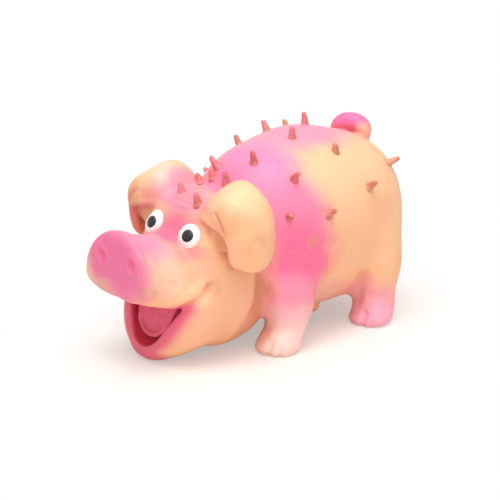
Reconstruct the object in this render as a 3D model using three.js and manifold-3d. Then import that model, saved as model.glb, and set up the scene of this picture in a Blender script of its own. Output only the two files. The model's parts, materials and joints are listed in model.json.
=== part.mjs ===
// A stuffed latex dog toy: a laughing pig with short moulded bristles and a squeeze voice in its belly.
// Millimetres, +Z up. The pig faces -Y and its left side is +X. It stands on four soles and its chin.
import * as THREE from "three";
import { mergeVertices } from "three/addons/utils/BufferGeometryUtils.js";
import Module from "manifold-3d";

const wasm = await Module();
wasm.setup();

// Latex and fits
const wall = 2.4;
const clearance = 0.35;
const overrun = 6;
const soleCut = 0.5;

// Body: an egg along Y
const body = { y: 34, z: 64, halfLength: 70, halfWidth: 46, halfHeight: 54, endPower: 2.6, sidePower: 2.1 };

// How far the head's middle and the front legs sit from the body's front, and the rear legs and tail
// from its rear
const front = body.y - body.halfLength;
const rear = body.y + body.halfLength;
const inset = { head: 2, frontLeg: 25, rearLeg: 39.5, tail: 19 };

// How far in front of the head's middle its features sit
const ahead = { ear: 4, throat: 8, bridge: 16, mouthCorner: 22, jaw: 23, mouth: 36, lip: 47, disc: 63 };

// Head: a rounder egg, with the snout in front of it and the jaw below
const head = {
  y: front - inset.head,
  z: 47.5,
  halfLength: 36,
  halfWidth: 38,
  halfHeight: 45.5,
  endPower: 2.2,
  sidePower: 2.4,
};
const snout = {
  rootY: head.y - ahead.bridge,
  discY: head.y - ahead.disc,
  z: 61,
  discHalfWidth: 27.5,
  discHalfHeight: 19.5,
  sidePower: 2.3,
};
const nostril = { spread: 13.5, radius: 3.4, depth: 1.4, above: 1 };
const jaw = {
  y: head.y - ahead.jaw,
  halfWidth: 35,
  halfDepth: 26,
  top: 46,
  lipY: head.y - ahead.lip,
  lipTop: 3,
};
const mouth = { y: head.y - ahead.mouth, halfWidth: 26, halfDepth: 17, floor: 3.5, palate: 44 };
const mouthCorner = { y: head.y - ahead.mouthCorner, z: 44 };
const throat = { y: head.y - ahead.throat, z: -2 };
const jawClosing = 14;
const neck = { radius: 24, z: 58 };

// Ears: bent flaps that hang from the top of the head, each on a bead in a groove
const ear = { x: 27, y: head.y - ahead.ear, size: 23, halfWidth: 19.5, halfThickness: 3.2, sidePower: 2.4 };
const earBead = { radius: 4.6, lift: 1 };
const earTurn = { root: 16, hang: 34 };

// Legs: a round hip in a socket of the body, and a short column down to the foot
const hip = { x: 27, z: 38, radius: 19 };
const foot = { x: 36, halfWidth: 12.6, halfLength: 13.2, height: 9 };
const frontLegY = front + inset.frontLeg;
const rearLegY = rear - inset.rearLeg;
const rearHipLift = 2;
const legSwing = 7;

// Tail: one curl, with a round root in a socket of the body
const tail = { y: rear - inset.tail, size: 13.5, rootRadius: 6.8, tubeRadius: 5.2, tipRadius: 3.6, heading: 37 };

// Eyes
const eye = { x: 17.2, z: 75, halfWidth: 7.6, halfHeight: 8.6, rise: 2.6 };
const pupil = { halfWidth: 3.3, halfHeight: 3.8, rise: 1.1 };

// Bristles
const bristle = { base: 2.5, tip: 1.2, length: 10, root: 1.5 };

// Voice in the belly hole
const seat = { floor: 4, height: 8.5, below: 0.5 };
const voice = { y: 24, radius: 13, height: 17, wall: 1.4, flangeRadius: 16.5, flangeThickness: 1.6 };
const vent = { radius: 1.5, count: 6 };
const lid = { thickness: 1.5, lip: 2.5, slotWidth: 1.6, slotLength: 14 };
const washer = { width: 4.9, thickness: 2.4 };
const block = { width: 9, length: 17, height: 4, channel: 4.4, ledge: 3 };
const reed = { width: 3.4, length: 11, thickness: 0.4, heel: 4 };

// Colours and finishes
const latex = 0xfac8a0;
const spray = 0xff7fb5;
const paleFoot = 0xfcd3cf;
const lacquerWhite = 0xfcfbf8;
const lacquerBlack = 0x141414;
const fibre = 0xf0efe8;
const plastic = 0xf2f2ee;
const brass = 0xc9a24a;
const satin = 0.5;
const gloss = 0.15;
const dull = 0.9;

// How finely the forms are divided; what lies inside the skin is coarser
const fine = { around: 16, along: 9 };
const coarse = { around: 12, along: 7 };
const limbAround = 10;
const hipAround = 14;
const smallAround = 8;
const bristleAround = 4;
const earSteps = 11;

const X = new THREE.Vector3(1, 0, 0);
const Y = new THREE.Vector3(0, 1, 0);
const Z = new THREE.Vector3(0, 0, 1);
const at = (x, y, z) => new THREE.Vector3(x, y, z);
const radians = THREE.MathUtils.degToRad;
const mix = THREE.MathUtils.lerp;
const sum = (...vectors) => vectors.reduce((total, each) => total.add(each), at(0, 0, 0));
const times = (vector, factor) => vector.clone().multiplyScalar(factor);
const headings = (degrees) => at(Math.cos(radians(degrees)), Math.sin(radians(degrees)), 0);

// A closed three.js geometry as a solid that can be joined and cut.
function solid(geometry) {
  const bare = geometry.clone();
  bare.deleteAttribute("normal");
  bare.deleteAttribute("uv");
  const merged = mergeVertices(bare);
  const shape = (flip) => {
    const triVerts = new Uint32Array(merged.index.array);
    if (flip) triVerts.reverse();
    const vertProperties = new Float32Array(merged.attributes.position.array);
    return new wasm.Manifold(new wasm.Mesh({ numProp: 3, vertProperties, triVerts }));
  };
  const made = shape(false);
  return made.volume() < 0 ? shape(true) : made;
}

// A named mesh from a solid.
function piece(name, shape, color, roughness, metalness = 0) {
  const { vertProperties, triVerts, numProp } = shape.getMesh();
  const positions = new Float32Array((vertProperties.length / numProp) * 3);
  for (let i = 0; i < positions.length / 3; i++) {
    positions.set(vertProperties.subarray(i * numProp, i * numProp + 3), i * 3);
  }
  const geometry = new THREE.BufferGeometry();
  geometry.setAttribute("position", new THREE.BufferAttribute(positions, 3));
  geometry.setIndex(new THREE.BufferAttribute(triVerts, 1));
  geometry.computeVertexNormals();
  const mesh = new THREE.Mesh(geometry, new THREE.MeshStandardMaterial({ color, roughness, metalness }));
  mesh.name = name;
  return mesh;
}

const mirrored = (shape) => shape.mirror([1, 0, 0]);
const sided = (shape, side) => (side > 0 ? shape : mirrored(shape));

// An upright cylinder and an upright box, each from the middle of its lower end.
function drum(radius, height, x, y, z, sides = limbAround) {
  const upright = new THREE.CylinderGeometry(radius, radius, height, sides).rotateX(Math.PI / 2);
  return solid(upright.translate(x, y, z + height / 2));
}

function brick(width, length, height, x, y, z) {
  return solid(new THREE.BoxGeometry(width, length, height).translate(x, y, z + height / 2));
}

// A rod by its middle, and a ball with its poles at its sides.
function rod(centre, axis, half, radius, sides = smallAround) {
  const made = new THREE.CylinderGeometry(radius, radius, 2 * half, sides);
  made.applyQuaternion(new THREE.Quaternion().setFromUnitVectors(Y, axis));
  return solid(made.translate(centre.x, centre.y, centre.z));
}

function ball(centre, radius, around) {
  const made = new THREE.SphereGeometry(radius, around, around / 2).rotateZ(Math.PI / 2);
  return solid(made.translate(centre.x, centre.y, centre.z));
}

// The radius of a flat-sided socket in which a flat-sided ball or rod still turns.
const socketFor = (radius, around) => (radius + clearance) / Math.cos(Math.PI / around);

// A skin through rings, each with a centre and two half axes; power 2 is an ellipse, more is squarer.
function loft(rings, sides, power = 2) {
  const points = [];
  const faces = [];
  const bend = (value) => Math.sign(value) * Math.abs(value) ** (2 / power);
  for (const ring of rings) {
    for (let i = 0; i < sides; i++) {
      const turn = (2 * Math.PI * i) / sides;
      const across = times(ring.across, bend(Math.cos(turn)));
      const up = times(ring.up, bend(Math.sin(turn)));
      points.push(sum(ring.centre, across, up));
    }
  }
  for (let r = 0; r + 1 < rings.length; r++) {
    for (let i = 0; i < sides; i++) {
      const a = r * sides + i;
      const b = r * sides + ((i + 1) % sides);
      faces.push(a, b, a + sides, b, b + sides, a + sides);
    }
  }
  const last = (rings.length - 1) * sides;
  const start = points.push(rings[0].centre) - 1;
  const end = points.push(rings[rings.length - 1].centre) - 1;
  for (let i = 0; i < sides; i++) {
    const next = (i + 1) % sides;
    faces.push(start, next, i, end, last + i, last + next);
  }
  const geometry = new THREE.BufferGeometry().setFromPoints(points);
  geometry.setIndex(faces);
  return solid(geometry);
}

// How far an egg has swollen at a share of its half length, from 1 in its middle to 0 at its ends.
const swellAt = (form, share) => Math.max(1 - Math.abs(share) ** form.endPower, 0) ** (1 / form.endPower);

// An egg along Y; grow makes it fatter or, below zero, thinner.
function egg(form, grow, { around, along } = fine) {
  const rings = [];
  const pointed = 1 / (around * along);
  for (let i = 0; i <= along; i++) {
    const share = -Math.cos((Math.PI * i) / along);
    const swell = Math.max(swellAt(form, share), pointed);
    rings.push({
      centre: at(0, form.y + (form.halfLength + grow) * share, form.z),
      across: times(X, (form.halfWidth + grow) * swell),
      up: times(Z, (form.halfHeight + grow) * swell),
    });
  }
  return loft(rings, around, form.sidePower);
}

// A point on an egg and the way out of it, from its share along Y and its turn from the top towards +X.
function onEgg(form, along, degrees) {
  const swell = swellAt(form, along);
  const bend = (value) => Math.sign(value) * Math.abs(value) ** (2 / form.sidePower);
  const x = form.halfWidth * swell * bend(Math.sin(radians(degrees)));
  const z = form.halfHeight * swell * bend(Math.cos(radians(degrees)));
  const steep = Math.sign(along) * Math.abs(along) ** (form.endPower - 1);
  const out = at(x / form.halfWidth ** 2, steep / form.halfLength, z / form.halfHeight ** 2).normalize();
  return { point: at(x, form.y + form.halfLength * along, form.z + z), out };
}

// Where an egg's front lies at a place across and above, and where its top lies across and along.
function frontOf(form, x, z) {
  const across = Math.abs(x / form.halfWidth) ** form.sidePower;
  const above = Math.abs((z - form.z) / form.halfHeight) ** form.sidePower;
  const swell = (across + above) ** (form.endPower / form.sidePower);
  return form.y - form.halfLength * (1 - swell) ** (1 / form.endPower);
}

function topOf(form, x, y) {
  const swell = swellAt(form, (y - form.y) / form.halfLength) ** form.sidePower;
  const across = Math.abs(x / form.halfWidth) ** form.sidePower;
  return form.z + form.halfHeight * (swell - across) ** (1 / form.sidePower);
}

// What lies below the soles.
const groundReach = 2 * (body.halfLength + head.halfLength + snout.discHalfWidth);
const ground = brick(groundReach, groundReach, body.z, 0, 0, -body.z);

// The snout from its root to the disc, as shares of its length and of the disc's half axes.
const snoutShares = [
  { along: 0, width: 0.86, height: 0.82, lift: 0.03 },
  { along: 0.22, width: 0.97, height: 1.06, lift: -0.2 },
  { along: 0.46, width: 0.98, height: 1.16, lift: -0.28 },
  { along: 0.7, width: 0.93, height: 1.0, lift: -0.1 },
  { along: 0.88, width: 1.0, height: 1.0, lift: 0.05 },
  { along: 0.97, width: 0.97, height: 0.97, lift: 0.07 },
  { along: 1, width: 0.86, height: 0.84, lift: 0.07 },
];

function snoutForm(grow, { around }) {
  const rings = snoutShares.map((share) => {
    const y = mix(snout.rootY, snout.discY - grow, share.along);
    return {
      centre: at(0, y, snout.z + snout.discHalfHeight * share.lift),
      across: times(X, snout.discHalfWidth * share.width + grow),
      up: times(Z, snout.discHalfHeight * share.height + grow),
    };
  });
  return loft(rings, around, snout.sidePower);
}

// A basin of level rings between two heights, as shares of its height and of its half axes.
function basin(form, shares, bottom, top, grow, { around }) {
  const rings = shares.map((share) => ({
    centre: at(0, form.y - form.halfDepth * share.ahead, mix(bottom - grow, top + grow, share.up)),
    across: times(X, form.halfWidth * share.width + grow),
    up: times(Y, form.halfDepth * share.depth + grow),
  }));
  return loft(rings, around);
}

const jawShares = [
  { up: 0, width: 0.18, depth: 0.2, ahead: 0.47 },
  { up: 0.06, width: 0.3, depth: 0.38, ahead: 0.4 },
  { up: 0.17, width: 0.48, depth: 0.62, ahead: 0.25 },
  { up: 0.32, width: 0.72, depth: 0.88, ahead: 0.08 },
  { up: 0.52, width: 0.92, depth: 1, ahead: 0 },
  { up: 0.78, width: 0.99, depth: 0.9, ahead: -0.05 },
  { up: 1, width: 0.96, depth: 0.7, ahead: -0.1 },
];
const jawForm = (grow, fineness) => basin(jaw, jawShares, -soleCut, jaw.top, grow, fineness);

// The hollow of the mouth, from its floor to the palate.
const mouthShares = [
  { up: 0, width: 0.16, depth: 0.3, ahead: 0.6 },
  { up: 0.1, width: 0.4, depth: 0.56, ahead: 0.56 },
  { up: 0.28, width: 0.78, depth: 0.85, ahead: 0.46 },
  { up: 0.56, width: 0.98, depth: 1, ahead: 0.3 },
  { up: 0.86, width: 0.96, depth: 0.92, ahead: 0 },
  { up: 1, width: 0.78, depth: 0.74, ahead: 0 },
];
const mouthForm = (grow) => basin(mouth, mouthShares, mouth.floor, mouth.palate, grow, coarse);

// A slab across the whole head whose outline lies in the YZ plane.
function acrossHead(outline) {
  const reach = 2 * (head.halfWidth + overrun);
  const options = { depth: reach, bevelEnabled: false };
  const geometry = new THREE.ExtrudeGeometry(new THREE.Shape(outline), options);
  geometry.applyMatrix4(new THREE.Matrix4().makeBasis(Y, Z, X));
  return solid(geometry.translate(-reach / 2, 0, 0));
}

// The wedge of the jaw, from its lip line, turned up by lipTurn degrees, to its throat line. Its tip is the
// jaw's pivot at the corner of the mouth; a gap sets the throat line back and lifts the tip.
const jawReach = 3 * jaw.halfDepth;
const jawTip = new THREE.Vector2(mouthCorner.y, mouthCorner.z);
const lipLine = new THREE.Vector2(jaw.lipY, jaw.lipTop).sub(jawTip).normalize();
const throatLine = new THREE.Vector2(throat.y, throat.z).sub(jawTip).normalize();

function jawWedge(lipTurn, gap) {
  const lip = lipLine.clone().rotateAround(new THREE.Vector2(), -radians(lipTurn));
  const behind = new THREE.Vector2(-throatLine.y, throatLine.x).multiplyScalar(gap);
  const near = jawTip.clone().addScaledVector(lip, jawReach);
  const far = jawTip.clone().add(behind).addScaledVector(throatLine, jawReach);
  const above = jawTip.clone().add(behind).addScaledVector(throatLine, -gap);
  const front = jawTip.clone().addScaledVector(lip, -gap);
  return acrossHead(gap > 0 ? [near, far, above, front] : [near, far, jawTip]);
}

// All that lies behind the lip line, set back by a gap.
function behindLip(gap) {
  const tip = jawTip.clone().add(new THREE.Vector2(gap, 0));
  const top = tip.clone().addScaledVector(lipLine, -jawReach);
  const bottom = tip.clone().addScaledVector(lipLine, jawReach);
  const back = new THREE.Vector2(2 * jawReach, 0);
  return acrossHead([top, bottom, bottom.clone().add(back), top.clone().add(back)]);
}

// The head with its snout, and with its jaw as if moulded in one.
const headForm = (grow, fineness = fine) => egg(head, grow, fineness).add(snoutForm(grow, fineness));

function wholeForm(grow, fineness) {
  const chin = jawForm(grow, fineness).intersect(behindLip(-grow));
  return headForm(grow, fineness).add(chin);
}

function nostrilDents() {
  const y = snout.discY - nostril.radius + nostril.depth;
  const dent = ball(at(nostril.spread, y, snout.z + nostril.above), nostril.radius, smallAround);
  return dent.add(mirrored(dent));
}

// One bristle: a short stub with its root sunk in the skin, leaning back and up.
const leanShares = at(0, -0.15, 0.35);

function bristleOn({ point, out }) {
  const direction = sum(out, leanShares).normalize();
  const full = bristle.length + bristle.root;
  const stub = new THREE.CylinderGeometry(bristle.tip, bristle.base, full, bristleAround);
  stub.translate(0, full / 2 - bristle.root, 0);
  stub.applyQuaternion(new THREE.Quaternion().setFromUnitVectors(Y, direction));
  return solid(stub.translate(point.x, point.y, point.z));
}

// Where the bristles stand: the share along the body or head, and degrees from its top. Each has its mirror.
const bodyBristleShares = [
  { along: -0.8, turn: 17 },
  { along: -0.62, turn: 19 },
  { along: -0.18, turn: 9 },
  { along: 0.23, turn: 11 },
  { along: -0.46, turn: 47 },
  { along: -0.31, turn: 36 },
  { along: 0.08, turn: 34 },
  { along: 0.28, turn: 63 },
  { along: 0.74, turn: 42 },
  { along: -0.23, turn: 74 },
  { along: -0.6, turn: 68 },
];
const headBristleShares = [
  { along: -0.24, turn: 14 },
  { along: 0.1, turn: 12 },
];

function bristled(form, shares, skin) {
  let made = skin;
  for (const place of shares) {
    const stub = bristleOn(onEgg(form, place.along, place.turn));
    made = made.add(stub).add(mirrored(stub));
  }
  return made;
}

// The legs' places, and a leg's column from its hip down, as shares of the hip's height and radius.
const legPlaces = [
  { name: "leg_front_left", side: 1, y: frontLegY, lift: 0 },
  { name: "leg_front_right", side: -1, y: frontLegY, lift: 0 },
  { name: "leg_rear_left", side: 1, y: rearLegY, lift: rearHipLift },
  { name: "leg_rear_right", side: -1, y: rearLegY, lift: rearHipLift },
];
const frontLegs = legPlaces.slice(0, 2);
const legShares = [
  { down: 0, width: 0.86 },
  { down: 0.3, width: 0.84 },
  { down: 0.6, width: 0.72 },
];
const footShares = [
  { up: 1, width: 1, length: 1, ahead: 0 },
  { up: 0, width: 0.94, length: 0.96, ahead: 0.12 },
];
const hipOf = (place) => at(hip.x, place.y, hip.z + place.lift);
const hipSocket = (place) => ball(hipOf(place), socketFor(hip.radius, hipAround), hipAround);
const swingRoom = (distance) => clearance + distance * Math.sin(radians(legSwing));

function legColumn(place, grow) {
  const top = hipOf(place);
  const rings = legShares.map((share) => ({
    centre: at(mix(top.x, foot.x, share.down), place.y, mix(top.z, 0, share.down)),
    across: times(X, hip.radius * share.width + grow),
    up: times(Y, hip.radius * share.width + grow),
  }));
  const footRings = footShares.map((share) => ({
    centre: at(foot.x, place.y - foot.halfLength * share.ahead, mix(-soleCut - grow, foot.height, share.up)),
    across: times(X, foot.halfWidth * share.width + grow),
    up: times(Y, foot.halfLength * share.length + grow),
  }));
  return loft([...rings, ...footRings], limbAround);
}

// The room that a leg needs beside it as it swings, and what all hips need in the body.
function legRoom(place) {
  const column = legColumn(place, swingRoom(hip.z));
  return sided(hipSocket(place).add(column), place.side);
}

function withoutHips(shape) {
  let made = shape;
  for (const place of legPlaces) {
    made = made.subtract(sided(hipSocket(place), place.side));
  }
  return made;
}

function withoutFrontLegs(shape) {
  let made = shape;
  for (const place of frontLegs) {
    made = made.subtract(legRoom(place));
  }
  return made;
}

// A leg is a hollow hip ball and column, open into the body, kept clear of the body as it swings.
const hipOpeningShares = at(-1, 0, 0.5);
const besideBelly = hip.z - (body.z - body.halfHeight);
const bellyRoom = swingRoom(besideBelly) + clearance;

function leg(place) {
  const belly = egg(body, bellyRoom, coarse);
  const backed = egg(body, bellyRoom + wall, coarse);
  const hollow = legColumn(place, -wall).subtract(backed);
  const inside = ball(hipOf(place), hip.radius - wall, limbAround).add(hollow);
  const inward = hipOpeningShares.clone().normalize();
  const opening = sum(hipOf(place), times(inward, hip.radius));
  const hole = rod(opening, inward, hip.radius / 2, hip.radius / 2);
  const made = legColumn(place, 0).subtract(belly).add(ball(hipOf(place), hip.radius, hipAround));
  return sided(made.subtract(inside).subtract(hole).subtract(ground), place.side);
}

// The ear's line from its root bead up, over and down to its tip, as shares of its size, and its section.
const earShares = [
  { out: 0, ahead: 0, up: 0, width: 0.84, thick: 1.4 },
  { out: 0.14, ahead: 0.1, up: 0.34, width: 0.92, thick: 1.1 },
  { out: 0.4, ahead: 0.2, up: 0.66, width: 0.98, thick: 1.05 },
  { out: 0.68, ahead: 0.24, up: 0.62, width: 1, thick: 1 },
  { out: 0.83, ahead: 0.24, up: 0.16, width: 1, thick: 1 },
  { out: 0.86, ahead: 0.18, up: -0.42, width: 0.88, thick: 1 },
  { out: 0.86, ahead: 0.02, up: -0.9, width: 0.58, thick: 0.9 },
  { out: 0.86, ahead: -0.12, up: -1.18, width: 0.22, thick: 0.7 },
];
const earRoot = at(ear.x, ear.y, topOf(head, ear.x, ear.y) + earBead.lift);
const earHinge = (radius, grow) => {
  const half = ear.halfWidth * earShares[0].width + grow;
  return rod(earRoot, headings(90 - earTurn.root), half, radius, limbAround);
};

function earForm() {
  const places = earShares.map((share) => at(share.out, -share.ahead, share.up));
  const line = new THREE.CatmullRomCurve3(places.map((place) => sum(earRoot, times(place, ear.size))));
  const spans = earShares.length - 1;
  const rings = [];
  for (let i = 0; i <= earSteps; i++) {
    const along = i / earSteps;
    const low = Math.min(Math.floor(along * spans), spans - 1);
    const share = (name) => mix(earShares[low][name], earShares[low + 1][name], along * spans - low);
    const width = headings(90 - mix(earTurn.root, earTurn.hang, Math.min(2 * along, 1)));
    const thick = line.getTangent(along).cross(width).normalize();
    rings.push({
      centre: line.getPoint(along),
      across: times(width, ear.halfWidth * share("width")),
      up: times(thick, ear.halfThickness * share("thick")),
    });
  }
  return loft(rings, limbAround, ear.sidePower).add(earHinge(earBead.radius, 0));
}

// The tail's line, as shares of its size: out along its heading, up, and sideways towards its tip.
const tailShares = [
  { out: 0, up: 0, side: 0 },
  { out: 0.26, up: 0.32, side: 0 },
  { out: 0.24, up: 0.64, side: 0 },
  { out: -0.08, up: 0.88, side: -0.04 },
  { out: -0.56, up: 0.9, side: -0.12 },
  { out: -1, up: 0.66, side: -0.32 },
  { out: -1.22, up: 0.26, side: -0.56 },
];
const tailEndShare = 0.6;
const tailSeat = onEgg(body, (tail.y - body.y) / body.halfLength, 0).point;
const tailSocket = ball(tailSeat, socketFor(tail.rootRadius, limbAround), limbAround);

function tailForm() {
  const heading = headings(tail.heading);
  const aside = at(heading.y, -heading.x, 0);
  const places = tailShares.map((share) => {
    const place = sum(times(heading, share.out), times(Z, share.up), times(aside, share.side));
    return sum(tailSeat, times(place, tail.size));
  });
  const line = new THREE.CatmullRomCurve3(places);
  const steps = 2 * (tailShares.length - 1);
  const frames = line.computeFrenetFrames(steps);
  const rings = [];
  for (let i = 0; i <= steps; i++) {
    const taper = mix(tail.tubeRadius, tail.tipRadius, i / steps) * (i === steps ? tailEndShare : 1);
    rings.push({
      centre: line.getPointAt(i / steps),
      across: times(frames.normals[i], taper),
      up: times(frames.binormals[i], taper),
    });
  }
  return loft(rings, smallAround).add(ball(tailSeat, tail.rootRadius, limbAround));
}

// A drop of lacquer on the head, facing straight out of it.
function eyeDrop(side, size, lift, grow) {
  const eyeY = frontOf(head, eye.x, eye.z);
  const out = at(
    eye.x / head.halfWidth ** 2,
    (eyeY - head.y) / head.halfLength ** 2,
    (eye.z - head.z) / head.halfHeight ** 2,
  ).normalize();
  const level = new THREE.Vector3().crossVectors(Z, out).normalize();
  const up = new THREE.Vector3().crossVectors(out, level);
  const drop = new THREE.SphereGeometry(1, limbAround, limbAround / 2);
  drop.scale(size.halfWidth + grow, size.halfHeight + grow, size.rise + grow);
  drop.applyMatrix4(new THREE.Matrix4().makeBasis(level, up, out));
  const centre = sum(at(eye.x, eyeY, eye.z), times(out, lift));
  return sided(solid(drop.translate(centre.x, centre.y, centre.z)), side);
}

function eyeWhite(side) {
  return eyeDrop(side, eye, 0, 0).subtract(headForm(clearance));
}

function eyePupil(side) {
  const behind = eyeDrop(side, eye, 0, clearance).add(headForm(clearance));
  return eyeDrop(side, pupil, eye.rise, 0).subtract(behind);
}

// The voice: its seat in the belly, its housing and what the housing holds, all round one upright line.
const seatZ = body.z - body.halfHeight - seat.below;
const voiceDrum = (radius, height, z) => drum(radius, height, 0, voice.y, z);
const voiceHole = voice.radius + clearance;
const washerRadius = voiceHole + washer.width;
const pocketRadius = washerRadius + clearance;
const seatRadius = pocketRadius + wall;
const voiceInside = voice.radius - voice.wall;
const voiceTop = seatZ + voice.height;
const flangeZ = seatZ - clearance - voice.flangeThickness;
const voiceFloor = flangeZ + voice.wall;

function voiceHousing() {
  let made = voiceDrum(voice.flangeRadius, voice.flangeThickness, flangeZ);
  made = made.add(voiceDrum(voice.radius, voiceTop - flangeZ, flangeZ));
  made = made.subtract(voiceDrum(voiceInside, voiceTop - voiceFloor + overrun, voiceFloor));
  const ventCircle = voiceInside - 2 * vent.radius;
  for (let i = 0; i < vent.count; i++) {
    const turn = (2 * Math.PI * i) / vent.count;
    const x = ventCircle * Math.cos(turn);
    const y = voice.y + ventCircle * Math.sin(turn);
    made = made.subtract(drum(vent.radius, voice.wall + 2 * overrun, x, y, flangeZ - overrun, smallAround));
  }
  return made;
}

function voiceLid() {
  const underside = voiceTop + clearance;
  const lipFoot = underside - lid.lip - clearance;
  const lipRadius = voiceInside - clearance;
  const slotDepth = lid.thickness + 2 * overrun;
  const slot = brick(lid.slotWidth, lid.slotLength, slotDepth, 0, voice.y, underside - overrun);
  let made = voiceDrum(voice.radius, lid.thickness, underside);
  made = made.add(voiceDrum(lipRadius, underside - lipFoot, lipFoot));
  made = made.subtract(voiceDrum(lipRadius - voice.wall, underside - lipFoot, lipFoot));
  return made.subtract(slot);
}

function washerRing() {
  const z = seatZ + seat.floor + clearance;
  const hole = voiceDrum(voiceHole, washer.thickness + 2 * overrun, z - overrun);
  return voiceDrum(washerRadius, washer.thickness, z).subtract(hole);
}

// The reed rests on the block's heel and swings over the channel.
const blockZ = voiceFloor + clearance;
const heelY = voice.y + block.length / 2 - block.ledge - reed.heel;

function reedBlock() {
  const channelLength = reed.length - reed.heel + block.ledge / 2;
  const channelY = heelY - channelLength / 2;
  const channelDepth = block.height + 2 * overrun;
  const channel = brick(block.channel, channelLength, channelDepth, 0, channelY, blockZ - overrun);
  return brick(block.width, block.length, block.height, 0, voice.y, blockZ).subtract(channel);
}

function reedTongue() {
  const y = heelY + reed.heel - reed.length / 2;
  return brick(reed.width, reed.length, reed.thickness, 0, y, blockZ + block.height + clearance);
}

// The body's skin, with the seat of the voice moulded in and open at the neck, the hips and the tail.
function torsoSkin() {
  const seatPlug = voiceDrum(seatRadius, seat.height, seatZ);
  const pocket = voiceDrum(pocketRadius, seat.height + overrun, seatZ + seat.floor);
  const room = egg(body, -wall, coarse).subtract(seatPlug).add(pocket);
  const hole = voiceDrum(voiceHole, seat.height + 2 * overrun, seatZ - overrun);
  const bodyFront = at(0, body.y - body.halfLength, neck.z);
  const neckHole = rod(bodyFront, Y, body.halfLength / 2, neck.radius, limbAround);
  const made = bristled(body, bodyBristleShares, egg(body, 0).add(seatPlug));
  return withoutHips(made.subtract(room).subtract(hole).subtract(neckHole).subtract(tailSocket));
}

// The head's skin and the jaw's skin, cut from one moulding behind the body's front.
const bodyGap = egg(body, clearance);
const skull = wholeForm(0, fine)
  .subtract(wholeForm(-wall, coarse).subtract(mouthForm(wall)))
  .subtract(mouthForm(0))
  .subtract(ground);
const leftGroove = earHinge(socketFor(earBead.radius, limbAround), clearance);
const earGroove = leftGroove.add(mirrored(leftGroove));

function headSkin() {
  const made = bristled(head, headBristleShares, skull).subtract(nostrilDents()).subtract(earGroove);
  return withoutFrontLegs(made.subtract(jawWedge(jawClosing, clearance)).subtract(bodyGap));
}

const jawSkin = () => skull.intersect(jawWedge(0, 0)).subtract(bodyGap);

// The stuffing fills what the skins leave.
function bodyStuffing() {
  const voiceRoom = voiceTop + 2 * clearance + lid.thickness - seatZ;
  let made = egg(body, -wall - clearance, coarse);
  made = made.subtract(voiceDrum(seatRadius + clearance, seat.height + clearance, seatZ));
  made = made.subtract(voiceDrum(voiceHole, voiceRoom, seatZ));
  return withoutHips(made.subtract(tailSocket));
}

function headStuffing() {
  const filled = wholeForm(-wall - clearance, coarse).subtract(mouthForm(wall + clearance));
  const made = filled.subtract(earGroove).subtract(bodyGap);
  return withoutFrontLegs(made.subtract(jawWedge(jawClosing, 2 * clearance)));
}

const pig = new THREE.Group();
pig.add(piece("torso_skin", torsoSkin(), latex, satin));
pig.add(piece("head_skin", headSkin(), latex, satin));
pig.add(piece("jaw_skin", jawSkin(), spray, satin));
for (const place of legPlaces) {
  pig.add(piece(place.name, leg(place), paleFoot, satin));
}
for (const [name, side] of [["left", 1], ["right", -1]]) {
  pig.add(piece(`ear_${name}`, sided(earForm(), side), latex, satin));
  pig.add(piece(`eye_white_${name}`, eyeWhite(side), lacquerWhite, gloss));
  pig.add(piece(`pupil_${name}`, eyePupil(side), lacquerBlack, gloss));
}
pig.add(piece("tail", tailForm(), spray, satin));
pig.add(piece("body_stuffing", bodyStuffing(), fibre, dull));
pig.add(piece("head_stuffing", headStuffing(), fibre, dull));
pig.add(piece("voice_housing", voiceHousing(), plastic, satin));
pig.add(piece("voice_lid", voiceLid(), plastic, satin));
pig.add(piece("reed_block", reedBlock(), plastic, satin));
pig.add(piece("reed", reedTongue(), brass, satin, 1));
pig.add(piece("belly_washer", washerRing(), latex, satin));

// The origin lies below the middle of the whole toy.
const middle = new THREE.Box3().setFromObject(pig).getCenter(at(0, 0, 0));
pig.position.y = -middle.y;

export default pig;
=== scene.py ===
# %% [markdown]
# # A laughing latex pig
#
# The toy is one hollow skin of latex. Liquid latex is poured into a plaster mould, a wall of two or three
# millimetres sets against the plaster, and the rest is poured out. The skin is then stuffed with fibre through the
# belly, pink is sprayed over the peach latex, and the eyes are dropped on with thick lacquer.
#
# The CAD model cuts that skin where it bends. Here it becomes one skin again, without gaps, cut into pieces at the
# bends.

# %% The frame
import json
import math

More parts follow.
